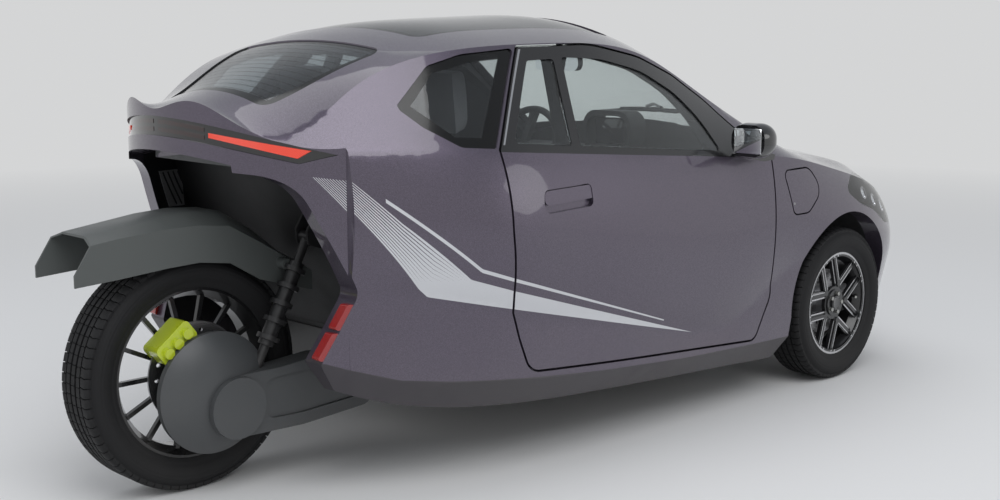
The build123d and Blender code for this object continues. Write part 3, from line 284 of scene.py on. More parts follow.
class Finish(Graph):
    """A material with its Principled shader and links from the shared groups."""

    def __init__(self, name, colour, rough, metal=0.0, **values):
        self.material = bpy.data.materials.new(name)
        self.material.use_nodes = True
        super().__init__(self.material.node_tree)
        self.shader = self.tree.nodes["Principled BSDF"].inputs
        self.shader["Base Color"].default_value = (*colour, 1)
        self.shader["Roughness"].default_value = rough
        self.shader["Metallic"].default_value = metal
        for label, value in values.items():
            self.shader[label.replace("_", " ").title()].default_value = value
        LOOKS[name] = self.material

    def shared(self, name, **values):
        """Outputs of a shared group with its inputs set."""
        node = self.add("ShaderNodeGroup", node_tree=bpy.data.node_groups[name])
        for label, value in values.items():
            self.put(node.inputs[label.replace("_", " ").capitalize()], value)
        return node.outputs

    def feed(self, **values):
        """Link or set the Principled shader's inputs."""
        for label, value in values.items():
            self.put(self.shader[label.replace("_", " ").title()], value)

    def bump(self, height, strength, depth):
        """Normal that follows a height."""
        node = self.add("ShaderNodeBump")
        self.put(node.inputs["Strength"], strength)
        self.put(node.inputs["Distance"], depth)
        self.put(node.inputs["Height"], height)
        return node.outputs[0]


DUST_COLOUR = (0.20, 0.19, 0.175, 1)


def worn(name, colour, rough, metal=0.0, grain=0.05, scale=900.0, dust=0.5, depth=0.0004, **values):
    """Finish with grain as bump, smudges in the roughness and dust in the colour."""
    finish = Finish(name, colour, rough, metal, **values)
    surface = finish.shared("surface", Grain_scale=scale, Dust=dust)
    finish.feed(
        Base_Color=finish.colours(surface["Dust"], (*colour, 1), DUST_COLOUR),
        Roughness=finish.ramp(surface["Smudge"], 0.3, 0.7, rough - 0.05, rough + 0.07),
        Normal=finish.bump(surface["Grain"], grain, depth),
    )
    return finish


def make_paint(settings):
    """Metallic paint with flakes under a clear coat, and the silver side stripes."""
    paint = Finish("paint", settings.paint_colour, 0.34, 0.72, coat_weight=1.0, coat_roughness=0.035)
    flakes = paint.shared("flakes")
    surface = paint.shared("surface", Dust=0.30)
    deep, light = ([share * part for part in settings.paint_colour] for share in (0.78, 1.28))
    colour = paint.colours(flakes["Tint"], (*deep, 1), (*light, 1))
    stripes = paint.shared("stripes")["Mask"]
    colour = paint.colours(stripes, colour, (*settings.stripe_colour, 1))
    colour = paint.colours(surface["Dust"], colour, (0.24, 0.22, 0.21, 1))
    paint.feed(
        Base_Color=colour, Normal=flakes["Normal"],
        Roughness=paint.ramp(stripes, 0.0, 1.0, 0.34, 0.42),
        Metallic=paint.ramp(stripes, 0.0, 1.0, 0.72, 0.35),
    )


FRIT_BLACK = (0.008, 0.008, 0.009)


def glass(name, tint, clear):
    """Window glass; clear gives a mask from the finish and its place, black frit outside it."""
    finish = Finish(name, tint, 0.0, transmission_weight=1.0)
    mask = clear(finish, *finish.place()[1:])
    shadow = finish.add("ShaderNodeLightPath").outputs["Is Shadow Ray"]
    lit = finish.times(finish.times(mask, shadow), 0.75)
    finish.feed(
        Base_Color=finish.colours(mask, (*FRIT_BLACK, 1), (*tint, 1)),
        Roughness=finish.ramp(mask, 0.0, 1.0, 0.12, 0.0),
        Alpha=finish.minus(1.0, lit),
    )


# Clear areas of the panes, in millimetres ahead of the rear axle and to the left, or upward for the quarters
WINDSCREEN_CLEAR = [
    (1478, -398), (2008, -545), (2085, -300), (2105, 0), (2085, 300), (2008, 545), (1478, 398),
]
REAR_CLEAR = [(160, -222), (462, -322), (462, 322), (160, 222)]
ROOF_CLEAR = [(628, -325), (1372, -370), (1372, 370), (628, 325)]
QUARTER_CLEAR = [(425, 1096), (511, 1012), (592, 1006), (752, 1219), (643, 1212), (521, 1184)]


def make_finishes(settings):
    """Every finish, by the name that pieces ask for."""
    make_surface_group()
    make_flake_group()
    make_stripe_group()
    make_turned_group()
    make_paint(settings)
    worn("gloss_black", (0.006, 0.006, 0.007), 0.10, coat_weight=1.0, grain=0.0, dust=0.2)
    worn("satin_black", (0.011, 0.011, 0.012), 0.30, grain=0.10, dust=0.25, coat_weight=0.3)
    worn("cladding", (0.040, 0.035, 0.043), 0.40, grain=0.35, scale=1400.0, dust=0.55, coat_weight=0.15)
    worn("guard_grey", (0.082, 0.090, 0.088), 0.40, grain=0.30, scale=1600.0, dust=0.45)
    worn("cover_grey", (0.060, 0.064, 0.068), 0.36, grain=0.55, scale=1500.0, dust=0.30)
    worn("inner_black", (0.010, 0.010, 0.011), 0.58, grain=0.6, scale=1200.0, dust=0.12)
    worn("cabin_grey", (0.030, 0.031, 0.034), 0.60, grain=0.8, scale=700.0, dust=0.0)
    # Pale grey: the charge flap mark's own colour, and painted light on the rear wheel house walls.
    worn("pale_grey_and_painted_light", (0.24, 0.24, 0.25), 0.55, grain=0.6, scale=700.0, dust=0.0)
    worn("rim_black", (0.012, 0.012, 0.013), 0.28, 0.4, grain=0.1, dust=0.4, coat_weight=0.6)
    worn("steel", (0.34, 0.34, 0.35), 0.34, 1.0, grain=0.3, dust=0.3)
    worn("cast_alloy", (0.36, 0.36, 0.37), 0.48, 0.9, grain=0.9, scale=700.0, dust=0.4, depth=0.001)
    worn("chassis_black", (0.016, 0.016, 0.017), 0.38, grain=0.3, dust=0.6)
    worn("caliper", (0.50, 0.60, 0.02), 0.28, grain=0.2, dust=0.1, coat_weight=0.8)
    worn("battery_case", (0.20, 0.21, 0.22), 0.5, 0.6, grain=0.5, dust=0.4)
    rubber = worn("rubber", (0.010, 0.010, 0.011), 0.68, grain=0.7, scale=600.0, dust=0.08)
    rubber.shader["Specular IOR Level"].default_value = 0.3
    worn("zinc", (0.42, 0.42, 0.40), 0.30, 1.0, grain=0.2, dust=0.2)
    Finish("mirror", (0.85, 0.86, 0.88), 0.01, 1.0)
    Finish("reflector", (0.80, 0.80, 0.82), 0.06, 1.0)
    Finish("screen", (0.004, 0.004, 0.006), 0.06, coat_weight=1.0)
    Finish("lamp_glow", (0.85, 0.87, 0.90), 0.15, emission_color=(0.9, 0.95, 1.0, 1), emission_strength=0.1)
    Finish("smoked_lens", (0.02, 0.004, 0.004), 0.05, coat_weight=1.0)
    Finish("clear_lens", (0.92, 0.94, 0.95), 0.0, transmission_weight=1.0)
    make_red_lens()
    make_disc()
    make_front_rim()
    make_fabric()
    make_door_frame()
    glass("windscreen_glass", (0.83, 0.88, 0.87), lambda f, x, y, z: f.inside(x, y, WINDSCREEN_CLEAR))
    glass("side_glass", (0.80, 0.85, 0.85), lambda f, x, y, z: f.calc("GREATER_THAN", z, 0.1))
    glass("quarter_glass", (0.62, 0.66, 0.67), lambda f, x, y, z: f.inside(x, z, QUARTER_CLEAR))
    glass("roof_glass", (0.10, 0.11, 0.12), lambda f, x, y, z: f.inside(x, y, ROOF_CLEAR))
    glass("rear_glass", (0.36, 0.40, 0.42), rear_clear)


HEATER_PITCH = 0.0255


def rear_clear(finish, x, y, z):
    """1 on the rear glass inside its frit, 0 on the frit and on the thin heating wires."""
    phase = finish.calc("FRACT", finish.calc("DIVIDE", x, HEATER_PITCH))
    wires = finish.ramp(finish.calc("ABSOLUTE", finish.minus(phase, 0.5)), 0.030, 0.045)
    return finish.times(finish.inside(x, y, REAR_CLEAR), wires)


RED_LENSES = (("red_lens", (0.66, 0.035, 0.015), 0.30), ("deep_red_lens", (0.30, 0.006, 0.010), 0.04))
RIB_TURNS = 1400.0  # ribs of the red lenses, in radians per metre


def make_red_lens():
    """Red lenses with fine ribs, each darker in its trough as painted shade: bright across the tail, deep on
    the flanks.
    """
    for name, colour, glow in RED_LENSES:
        lens = Finish(name, colour, 0.10, coat_weight=1.0, emission_color=(1.0, 0.08, 0.03, 1))
        _, _, y, z = lens.place()
        ribs = lens.calc("SINE", lens.times(lens.calc("ADD", y, z), RIB_TURNS))
        # Each rib's trough is darkened to 0.7 of the lens colour: painted shade.
        rib_shade_colour = [0.7 * part for part in colour]
        lens.shader["Emission Strength"].default_value = glow
        lens.feed(
            Base_Color=lens.colours(lens.ramp(ribs, -1.0, 1.0), (*rib_shade_colour, 1), (*colour, 1)),
            Normal=lens.bump(ribs, 0.4, 0.0006),
        )


def make_disc():
    """Turned brake discs at the front and rear axle."""
    for name, hub in (("front_disc", FRONT_HUB), ("rear_disc", REAR_HUB)):
        disc = Finish(name, (0.42, 0.42, 0.43), 0.3, 1.0)
        rings = disc.shared("turned", Axle_x=hub.x - REAR_AXLE_X, Axle_z=hub.z)["Rings"]
        disc.feed(Normal=disc.bump(rings, 0.5, 0.0003), Roughness=disc.ramp(rings, 0.3, 0.7, 0.22, 0.42))


ARM_PAIRS = 5
ARM_INNER = (0.0245, 0.0300, 0.072)  # machined line across an arm pair, and its inner radius
ARM_OUTER = (0.0470, 0.0535, 0.088)
LIP = (0.1850, 0.1930, 0.0)
RIM_BLACK = (0.012, 0.012, 0.013)


def make_front_rim():
    """Black front rims with machined lines along their paired arms and round the lip."""
    rim = Finish("front_rim", RIM_BLACK, 0.28, coat_weight=0.5)
    _, x, _, z = rim.place()
    dx, dz, radius = rim.from_axle(x, z, FRONT_HUB.x - REAR_AXLE_X, FRONT_HUB.z)
    pair = 2 * math.pi / ARM_PAIRS
    turn = rim.minus(rim.calc("FLOORED_MODULO", rim.calc("ARCTAN2", dz, dx), pair), pair / 2)
    across = rim.calc("ABSOLUTE", rim.times(radius, rim.calc("SINE", turn)))
    lines = 0.0
    for value, (low, high, start) in ((across, ARM_INNER), (across, ARM_OUTER), (radius, LIP)):
        line = rim.times(rim.between(value, low, high), rim.calc("GREATER_THAN", radius, start))
        lines = rim.calc("MAXIMUM", lines, line)
    facing = rim.calc("GREATER_THAN", rim.calc("ABSOLUTE", rim.normal()[1]), 0.9)
    lines = rim.times(lines, facing)
    rim.feed(
        Base_Color=rim.colours(lines, (*RIM_BLACK, 1), (0.60, 0.60, 0.61, 1)),
        Metallic=lines, Coat_Weight=rim.ramp(lines, 0.0, 1.0, 0.5, 0.0),
    )


WEAVE_TURNS = 2100.0  # threads of the seat cloth, in radians per metre


def make_fabric():
    """Woven seat cloth for the middles, darker in the hollows of its weave as painted shade, and grained hide
    for the sides.
    """
    cloth = Finish("seat_cloth", (0.045, 0.046, 0.050), 0.9, sheen_weight=0.4, sheen_roughness=0.5)
    _, x, y, z = cloth.place()
    warp, weft = (
        cloth.calc("SINE", cloth.times(way, WEAVE_TURNS)) for way in (y, cloth.calc("ADD", x, z))
    )
    weave = cloth.times(warp, weft)
    # The cloth is lighter on the raised weave and darker in its hollows: painted shade.
    weave_shade = cloth.ramp(weave, -1.0, 1.0)
    cloth.feed(
        Base_Color=cloth.colours(weave_shade, (0.030, 0.031, 0.034, 1), (0.075, 0.076, 0.082, 1)),
        Normal=cloth.bump(weave, 0.7, 0.0012),
    )
    worn("seat_side", (0.20, 0.20, 0.21), 0.55, grain=0.8, scale=500.0, dust=0.0)


FRAME_BLACK = (0.011, 0.011, 0.012)
FRAME_LINE = [(651, 985), (657, 985), (842, 1246), (834, 1246)]


def make_door_frame():
    """Satin black window frame with a thin bright line down its rear edge."""
    trim = Finish("door_frame", FRAME_BLACK, 0.25, coat_weight=0.5)
    _, x, _, z = trim.place()
    line = trim.inside(x, z, FRAME_LINE)
    trim.feed(Base_Color=trim.colours(line, (*FRAME_BLACK, 1), (0.55, 0.55, 0.57, 1)), Metallic=line)


# Mesh helpers
def mesh_of(points, faces, near=0.000005, outward=True):
    """Mesh with points nearer than this joined, and its faces turned outward unless they are right."""
    mesh = bpy.data.meshes.new("working")
    mesh.from_pydata([tuple(point) for point in points], [], faces)
    work = bmesh.new()
    work.from_mesh(mesh)
    bmesh.ops.remove_doubles(work, verts=work.verts, dist=near)
    if outward:
        bmesh.ops.recalc_face_normals(work, faces=work.faces)
    work.to_mesh(mesh)
    work.free()
    return mesh


def rounded(points, radii, steps=6):
    """Closed outline with its corners rounded."""
    line = []
    for index, radius in enumerate(radii):
        corner = Vector(points[index])
        before = Vector(points[index - 1]) - corner
        after = Vector(points[(index + 1) % len(points)]) - corner
        half = before.angle(after) / 2
        if radius == 0:
            line.append(corner)
            continue
        reach = radius / math.tan(half)
        middle = corner + (before.normalized() + after.normalized()).normalized() * radius / math.sin(half)
        start = corner + before.normalized() * reach - middle
        end = corner + after.normalized() * reach - middle
        for step in range(steps + 1):
            line.append(middle + start.normalized().slerp(end.normalized(), step / steps) * radius)
    return line


def lathe(profile, steps, closed=False):
    """Ring turned round local Z from (height, radius) points; closed joins the last point to the first."""
    points, faces = [], []
    count = len(profile)
    for step in range(steps):
        turn = 2 * math.pi * step / steps
        points += [(r * math.cos(turn), r * math.sin(turn), h) for h, r in profile]
    for step in range(steps):
        here, there = step * count, (step + 1) % steps * count
        for index in range(count if closed else count - 1):
            follow = (index + 1) % count
            faces.append((here + index, there + index, there + follow, here + follow))
    return mesh_of(points, faces)


def slab(top, bottom):
    """Closed sheet between two grids of points."""
    rows, columns = len(top), len(top[0])
    count = rows * columns
    points = [point for row in top for point in row] + [point for row in bottom for point in row]
    faces = []
    for row in range(rows - 1):
        for column in range(columns - 1):
            here = row * columns + column
            quad = (here, here + 1, here + columns + 1, here + columns)
            faces += [quad, tuple(count + corner for corner in reversed(quad))]
    border = [*range(columns)]
    border += [row * columns + columns - 1 for row in range(1, rows)]
    border += [(rows - 1) * columns + column for column in range(columns - 2, -1, -1)]
    border += [row * columns for row in range(rows - 2, 0, -1)]
    for here, there in zip(border, border[1:] + border[:1]):
        faces.append((here, there, there + count, here + count))
    return mesh_of(points, faces)


def block(size, bevel, segments=2):
    """Box with rounded edges, about the origin."""
    work = bmesh.new()
    bmesh.ops.create_cube(work, size=1)
    bmesh.ops.scale(work, vec=size, verts=work.verts)
    bmesh.ops.bevel(work, geom=work.edges[:], offset=bevel, segments=segments, affect="EDGES", profile=0.5)
    mesh = bpy.data.meshes.new("block")
    work.to_mesh(mesh)
    work.free()
    return mesh


def tube(spots, radius, sides=10):
    """Round bar along points, with closed ends."""
    points, faces = [], []
    flat = Vector((0.13, 0.27, 0.95))
    for index, spot in enumerate(spots):
        before, after = spots[max(index - 1, 0)], spots[min(index + 1, len(spots) - 1)]
        along = (Vector(after) - Vector(before)).normalized()
        flat = (flat - along * flat.dot(along)).normalized()
        wide = along.cross(flat)
        for side in range(sides):
            turn = 2 * math.pi * side / sides
            points.append(Vector(spot) + (flat * math.cos(turn) + wide * math.sin(turn)) * radius)
    for index in range(len(spots) - 1):
        for side in range(sides):
            here, follow = index * sides + side, index * sides + (side + 1) % sides
            faces.append((here, follow, follow + sides, here + sides))
    last = (len(spots) - 1) * sides
    faces += [tuple(range(sides)), tuple(range(last + sides - 1, last - 1, -1))]
    return mesh_of(points, faces)


def wheel_place(hub, side):
    """Carries local Z to the outside of a wheel; side is -1 on the right and 1 on the left."""
    return Matrix.Translation(hub) @ Matrix.Rotation(-side * math.pi / 2, 4, "X")


class Assembly:
    """Gathers meshes and their finishes into one piece."""

    def __init__(self):
        self.work = bmesh.new()
        self.looks = []

    def add(self, mesh, look, place=Matrix.Identity(4), pick=None):
        """Add a mesh with one finish, or with several chosen by each face's middle and normal."""
        looks = [look] if isinstance(look, str) else list(look)
        for name in looks:
            if name not in self.looks:
                self.looks.append(name)
        part = mesh.copy()
        part.transform(place)
        start = len(self.work.faces)
        self.work.from_mesh(part)
        self.work.faces.ensure_lookup_table()
        self.work.normal_update()
        for face in self.work.faces[start:]:
            choice = pick(face.calc_center_median(), face.normal) if pick else 0
            face.material_index = self.looks.index(looks[choice])
        return self

    def piece(self, name, body, slot, replaces=(), angle=30):
        """The finished object, riding on its body."""
        mesh = bpy.data.meshes.new(name)
        self.work.to_mesh(mesh)
        self.work.free()
        for look in self.looks:
            mesh.materials.append(LOOKS[look])
        mesh.shade_smooth()
        mesh.set_sharp_from_angle(angle=math.radians(angle))
        piece = bpy.data.objects.new(name, mesh)
        bpy.context.scene.collection.objects.link(piece)
        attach(piece, body)
        if replaces:
            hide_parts(*replaces)
        return piece


def merged(node):
    """Joined copy of a CAD node's loose triangles."""
    source = frame["nodes"][node].data
    faces = [face.vertices[:] for face in source.polygons]
    return mesh_of([corner.co for corner in source.vertices], faces, 0.00002, outward=False)


def skin(node, look, pick=None, angle=28):
    """Smooth copy that stands for a CAD node."""
    group = Assembly().add(merged(node), look, pick=pick)
    return group.piece(f"{node}_skin", BODY_OF[node], SLOT_OF[node], [node], angle)


def tree_of(node):
    """Tree for casting rays onto a CAD node."""
    mesh = merged(node)
    return BVHTree.FromPolygons([v.co for v in mesh.vertices], [p.vertices for p in mesh.polygons])


def hit(tree, start, way):
    """Point and normal where a ray meets the tree."""
    spot, normal, _, _ = tree.ray_cast(start, Vector(way).normalized())
    return spot, normal


def overlay(tree, rows, way, lift, depth=0.0015):
    """Closed sheet that lies on a surface; rows are grids of ray starts."""
    top, bottom = [], []
    for row in rows:
        hits = [hit(tree, start, way) for start in row]
        top.append([spot + normal * lift for spot, normal in hits])
        bottom.append([spot - normal * depth for spot, normal in hits])
    return slab(top, bottom)


# Repeats
RING_INPUTS = {
    "Geometry": "Geometry", "Block": "Object", "Count": "Int", "Radius": "Float", "Look": "Material",
}


def make_ring_nodes():
    """Geometry nodes that set a block round a circle, turned with it."""
    tree = bpy.data.node_groups.new("ring", "GeometryNodeTree")
    for label, kind in RING_INPUTS.items():
        tree.interface.new_socket(label, in_out="INPUT", socket_type=f"NodeSocket{kind}")
    tree.interface.new_socket("Geometry", in_out="OUTPUT", socket_type="NodeSocketGeometry")
    graph = Graph(tree)
    given, result = graph.add("NodeGroupInput").outputs, graph.add("NodeGroupOutput").inputs
    circle = graph.add("GeometryNodeMeshCircle", given["Count"], given["Radius"]).outputs[0]
    source = graph.add("GeometryNodeObjectInfo", given["Block"]).outputs["Geometry"]
    step = graph.calc("DIVIDE", 2 * math.pi, given["Count"])
    turn = graph.times(graph.add("GeometryNodeInputIndex").outputs[0], step)
    spin = graph.add("ShaderNodeCombineXYZ", None, None, turn).outputs[0]
    placed = graph.add("GeometryNodeInstanceOnPoints", circle, None, source, None, None, spin).outputs[0]
    real = graph.add("GeometryNodeRealizeInstances", placed).outputs[0]
    graph.put(result[0], graph.add("GeometryNodeSetMaterial", real, None, given["Look"]).outputs[0])


def ring(mesh, count, radius, look):
    """Mesh repeated round local Z; its local X points outward."""
    tree = bpy.data.node_groups["ring"]
    source = bpy.data.objects.new("block", mesh)
    holder = bpy.data.objects.new("holder", bpy.data.meshes.new("holder"))
    for part in (source, holder):
        bpy.context.scene.collection.objects.link(part)
    modifier = holder.modifiers.new("ring", "NODES")
    modifier.node_group = tree
    values = {"Block": source, "Count": count, "Radius": radius, "Look": LOOKS[look]}
    for socket in tree.interface.items_tree:
        if socket.in_out == "INPUT" and socket.name in values:
            modifier[socket.identifier] = values[socket.name]
    holder.update_tag()
    bpy.context.view_layer.update()
    made = bpy.data.meshes.new_from_object(holder.evaluated_get(bpy.context.evaluated_depsgraph_get()))
    holder.modifiers.clear()
    for part in (source, holder):
        bpy.data.objects.remove(part)
    return made


# Settings
class CarSettings(bpy.types.PropertyGroup):
    """Sizes and colours that a user would change."""
    paint_colour: FloatVectorProperty(
        name="Paint", description="Colour of the body", default=(0.092, 0.076, 0.108), subtype="COLOR"
    )
    stripe_colour: FloatVectorProperty(
        name="Stripes", description="Colour of the side stripes", default=(0.62, 0.63, 0.66), subtype="COLOR"
    )
    tread_depth: FloatProperty(
        name="Tread depth", description="Depth of the grooves", default=0.007, unit="LENGTH"
    )
    front_blocks: IntProperty(
        name="Front tread blocks", description="Blocks in each row of a front tyre", default=64
    )
    rear_blocks: IntProperty(
        name="Rear tread blocks", description="Blocks in each row of the rear tyre", default=76
    )
    wheel_nuts: IntProperty(name="Wheel nuts", description="Nuts on each wheel", default=5)
    view_yaw: FloatProperty(
        name="View yaw", description="Camera heading from +Y towards +X", default=math.radians(44.52),
        unit="ROTATION",
    )
    view_pitch: FloatProperty(
        name="View pitch", description="How far the camera looks down", default=math.radians(9.384),
        unit="ROTATION",
    )
    view_from: FloatVectorProperty(
        name="View from", description="Camera place from the rear axle's foot",
        default=(-2.0016, -3.3372, 1.3116), unit="LENGTH",
    )
    view_lens: FloatProperty(name="Lens", description="Focal length in millimetres", default=48.68)
    floor_colour: FloatVectorProperty(
        name="Floor colour", description="Colour of the studio floor", default=(0.80, 0.80, 0.80),
        subtype="COLOR",
    )
    backdrop_colour: FloatVectorProperty(
        name="Backdrop", description="Colour behind the car", default=(0.66, 0.665, 0.67), subtype="COLOR"
    )


class CAR_OT_finishes(bpy.types.Operator):
    """Make the finishes that every piece takes"""
    bl_idname = "car.finishes"
    bl_label = "Finishes"

    def execute(self, context):
        make_finishes(context.scene.car_settings)
        make_ring_nodes()
        return {"FINISHED"}


# Body panels; places in metres
BODY_MIDDLE = 0.7
HOUSE_FRONT = 0.62
HOUSE_TOP = 0.98
SHELF_TOP = 0.955
SHELF_HALF = 0.208
INTAKE_HALF = 0.303
INTAKE_LOW, INTAKE_HIGH = 0.272, 0.388


def faces_in(centre, normal):
    """1 for a face on the body's inside."""
    out = Vector((0, centre.y, centre.z - BODY_MIDDLE)).normalized()
    return int(normal.dot(out) < -0.25)


def flank_side(centre, normal):
    """0 outside, 1 inside the cabin, 2 in the rear wheel's house."""
    if normal.y * math.copysign(1, centre.y) > -0.2:
        return 0
    return 2 if centre.x < REAR_AXLE_X + HOUSE_FRONT and centre.z < HOUSE_TOP else 1


def shelf_side(centre, normal):
    """1 for the plate lamp's shelf under the tail."""
    return int(centre.z < SHELF_TOP and abs(centre.y) < SHELF_HALF)


def bumper_side(centre, normal):
    """1 for the slats and walls of the intake, and for the bumper's back."""
    intake = abs(centre.y) < INTAKE_HALF and INTAKE_LOW < centre.z < INTAKE_HIGH
    return int(intake or normal.x < -0.3)


PLAIN_PANELS = {
    "charge_flap": "paint", "cowl_panel": "satin_black", "sill_cladding": "cladding",
    "rear_bulkhead": "inner_black", "wheel_liners": "inner_black", "firewall": "inner_black",
    "floor_pan": "chassis_black", "battery_block": "battery_case",
}


class CAR_OT_panels(bpy.types.Operator):
    """Smooth body panels with their paint, trim and lining"""
    bl_idname = "car.panels"
    bl_label = "Body panels"

    def execute(self, context):
        for side in ("left", "right"):
            skin(f"quarter_{side}", ("paint", "cabin_grey", "inner_black"), flank_side)
            skin(f"door_panel_{side}", ("paint", "cabin_grey"), faces_in)
            skin(f"fender_{side}", ("paint", "inner_black"), faces_in)
            skin(f"door_frame_{side}", ("door_frame", "cabin_grey"), faces_in)
            skin(f"door_mirror_{side}", "gloss_black")
        for node in ("roof_frame", "bonnet", "tail_panel"):
            skin(node, ("paint", "cabin_grey"), faces_in)
        skin("tail_lip", ("paint", "cover_grey"), shelf_side)
        skin("front_bumper", ("paint", "gloss_black"), bumper_side)
        for node, look in PLAIN_PANELS.items():
            skin(node, look)
        return {"FINISHED"}


# Rear wheel house; outlines in millimetres ahead of the rear axle and above the ground. The pale panel on the
# left wall is painted light on the dark liner, with painted shade in its slots; the pale lines on the right
# wall are painted highlights.
# FLANK_PANEL outlines a dark liner panel that is coloured pale as painted light; FLANK_GROOVES are dark
# strips that stand for the painted shade in its slots.
FLANK_PANEL = [(188, 866), (322, 858), (330, 738), (242, 746)]
FLANK_GROOVES = [
    ((208, 860), (284, 748)), ((238, 858), (314, 745)), ((268, 856), (322, 776)), ((296, 854), (320, 818)),
]
# Pale lines on the right wall's dark liner are painted highlights along its seams.
HOUSE_HIGHLIGHT_LINES = [((165, 885), (245, 754)), ((205, 890), (290, 752)), ((270, 727), (330, 550))]
GROOVE_WIDE = 6
HIGHLIGHT_WIDE = 3.5


def blend(start, end, share):
    """Point part of the way between two."""
    return [a + (b - a) * share for a, b in zip(start, end)]


def side_row(start, end, steps=12):
    """Ray starts in the car's middle plane, from one point to another."""
    return [at(x, 0, z) for x, z in (blend(start, end, step / steps) for step in range(steps + 1))]


def wall_panel(wall, side, lift, rows=8):
    """Thin raised sheet on a side wall between the panel's corners."""
    first, second, third, fourth = FLANK_PANEL
    shares = [row / rows for row in range(rows + 1)]
    grid = [side_row(blend(first, fourth, share), blend(second, third, share)) for share in shares]
    return overlay(wall, grid, (0, side, 0), lift)


def wall_strip(wall, start, end, wide, side, lift):
    """Thin raised strip between two points on a side wall."""
    (ax, az), (bx, bz) = start, end
    length = math.hypot(bx - ax, bz - az)
    nx, nz = (az - bz) / length * wide / 2, (bx - ax) / length * wide / 2
    grid = [side_row((ax + nx * edge, az + nz * edge), (bx + nx * edge, bz + nz * edge)) for edge in (-1, 1)]
    return overlay(wall, grid, (0, side, 0), lift)


class CAR_OT_house_trim(bpy.types.Operator):
    """Painted light on the walls beside the rear wheel: a pale slotted panel with painted shade in its slots
    on the left, and painted highlight lines along the seams on the right
    """
    bl_idname = "car.house_trim"
    bl_label = "Rear wheel house"

    def execute(self, context):
        wall = tree_of("quarter_left")
        # Pale panel: painted light on the dark liner. Dark strips over it: painted shade in the slots.
        trim = Assembly().add(wall_panel(wall, 1, 0.002), "pale_grey_and_painted_light")
        for start, end in FLANK_GROOVES:
            trim.add(wall_strip(wall, start, end, GROOVE_WIDE, 1, 0.0032), "inner_black")
        trim.piece("house_trim_left", "root", "inner_plastic")
        wall = tree_of("quarter_right")
        # Pale strips on the right wall: painted highlights.
        trim = Assembly()
        for start, end in HOUSE_HIGHLIGHT_LINES:
            trim.add(wall_strip(wall, start, end, HIGHLIGHT_WIDE, -1, 0.002), "pale_grey_and_painted_light")
        trim.piece("house_trim_right", "root", "inner_plastic")
        return {"FINISHED"}


# Windows; the wiper's places in millimetres, its sizes in metres
PANES = {
    "windscreen": "windscreen_glass", "roof_glass": "roof_glass", "rear_glass": "rear_glass",
    "quarter_glass": "quarter_glass", "door_glass_left": "side_glass", "door_glass_right": "side_glass",
}
WIPER_SPAN = range(160, -431, -30)
WIPER_X = 2034
WIPER_SLANT = 0.10
WIPER_MIDDLE = -130
WIPER_BOW = 0.05
WIPER_LIFT = 0.012
WIPER_ARM = 9  # the point along the blade that the arm holds
WIPER_FOOT = (2128, 40)
MIRROR_Y, MIRROR_Z = 0.759, 0.943
MIRROR_PLATE = (0.003, 0.106, 0.082)


def make_wiper():
    """Wiper blade that lies on the windscreen, with its spine and bent arm."""
    screen = tree_of("windscreen")
    blade = []
    for y in WIPER_SPAN:
        x = WIPER_X + y * WIPER_SLANT - abs(y - WIPER_MIDDLE) * WIPER_BOW
        spot, normal = hit(screen, at(x, y, 1400), (0, 0, -1))
        blade.append(spot + normal * WIPER_LIFT)
    wiper = Assembly().add(tube(blade, 0.006), "inner_black")
    wiper.add(tube([point + Vector((0, 0, 0.007)) for point in blade[2:-2]], 0.004), "satin_black")
    held = blade[WIPER_ARM]
    foot = at(*WIPER_FOOT, 0)
    foot.z = held.z - 0.012
    bend = (foot + held) / 2 + Vector((0, 0, 0.026))
    arm = [foot, foot + Vector((0, 0, 0.02)), bend, held + Vector((0, 0, 0.012))]
    wiper.add(tube(arm, 0.007), "satin_black")
    wiper.piece("wiper", "root", "black_trim")


class CAR_OT_windows(bpy.types.Operator):
    """Panes with their frits, the wiper and the mirrors"""
    bl_idname = "car.windows"
    bl_label = "Windows"

    def execute(self, context):
        for node, look in PANES.items():
            skin(node, look)
        skin("cabin_mirror", ("inner_black", "mirror"), lambda centre, normal: int(normal.x < -0.9))
        make_wiper()
        for side, name in ((-1, "right"), (1, "left")):
            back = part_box(f"door_mirror_{name}")[0].x - 0.0005
            place = Matrix.Translation((back, side * MIRROR_Y, MIRROR_Z))
            plate = Assembly().add(block(MIRROR_PLATE, 0.0012), "mirror", place)
            plate.piece(f"mirror_glass_{name}", f"door_{name}", "black_trim")
        return {"FINISHED"}


# Lamps; places in millimetres ahead of the rear axle and above the ground, profiles in metres
LAMP_UNITS = ((2560, 690), (2650, 655), (2740, 622))
BOWL = [
    (-0.016, 0.001), (-0.014, 0.010), (-0.004, 0.019), (0.0, 0.022), (0.0, 0.024), (-0.018, 0.022),
    (-0.018, 0.001),
]
EYE = [(-0.015, 0.0005), (-0.015, 0.011), (-0.009, 0.010), (-0.005, 0.006), (-0.004, 0.0005)]
LENS_ROWS = ((1054, 88), (1032, 80))  # height in the middle, and how far the row curves down
LENS_ENDS = ((-190, -12), (12, 190))
LENS_EDGES = (-6, -2, 2, 6)
FLAP_MARK = [(-0.001, 0.0003), (-0.001, 0.005), (0.0004, 0.005), (0.0008, 0.0043), (0.0008, 0.0003)]


def lamp_side(centre, normal):
    """1 for the lamp's outer face."""
    out = Vector((1.0, math.copysign(0.9, centre.y), 0.6)).normalized()
    return int(normal.dot(out) > 0.45)


def facing(spot, normal):
    """Carries local Z to the normal at a spot."""
    return Matrix.Translation(spot) @ normal.to_track_quat("Z", "Y").to_matrix().to_4x4()


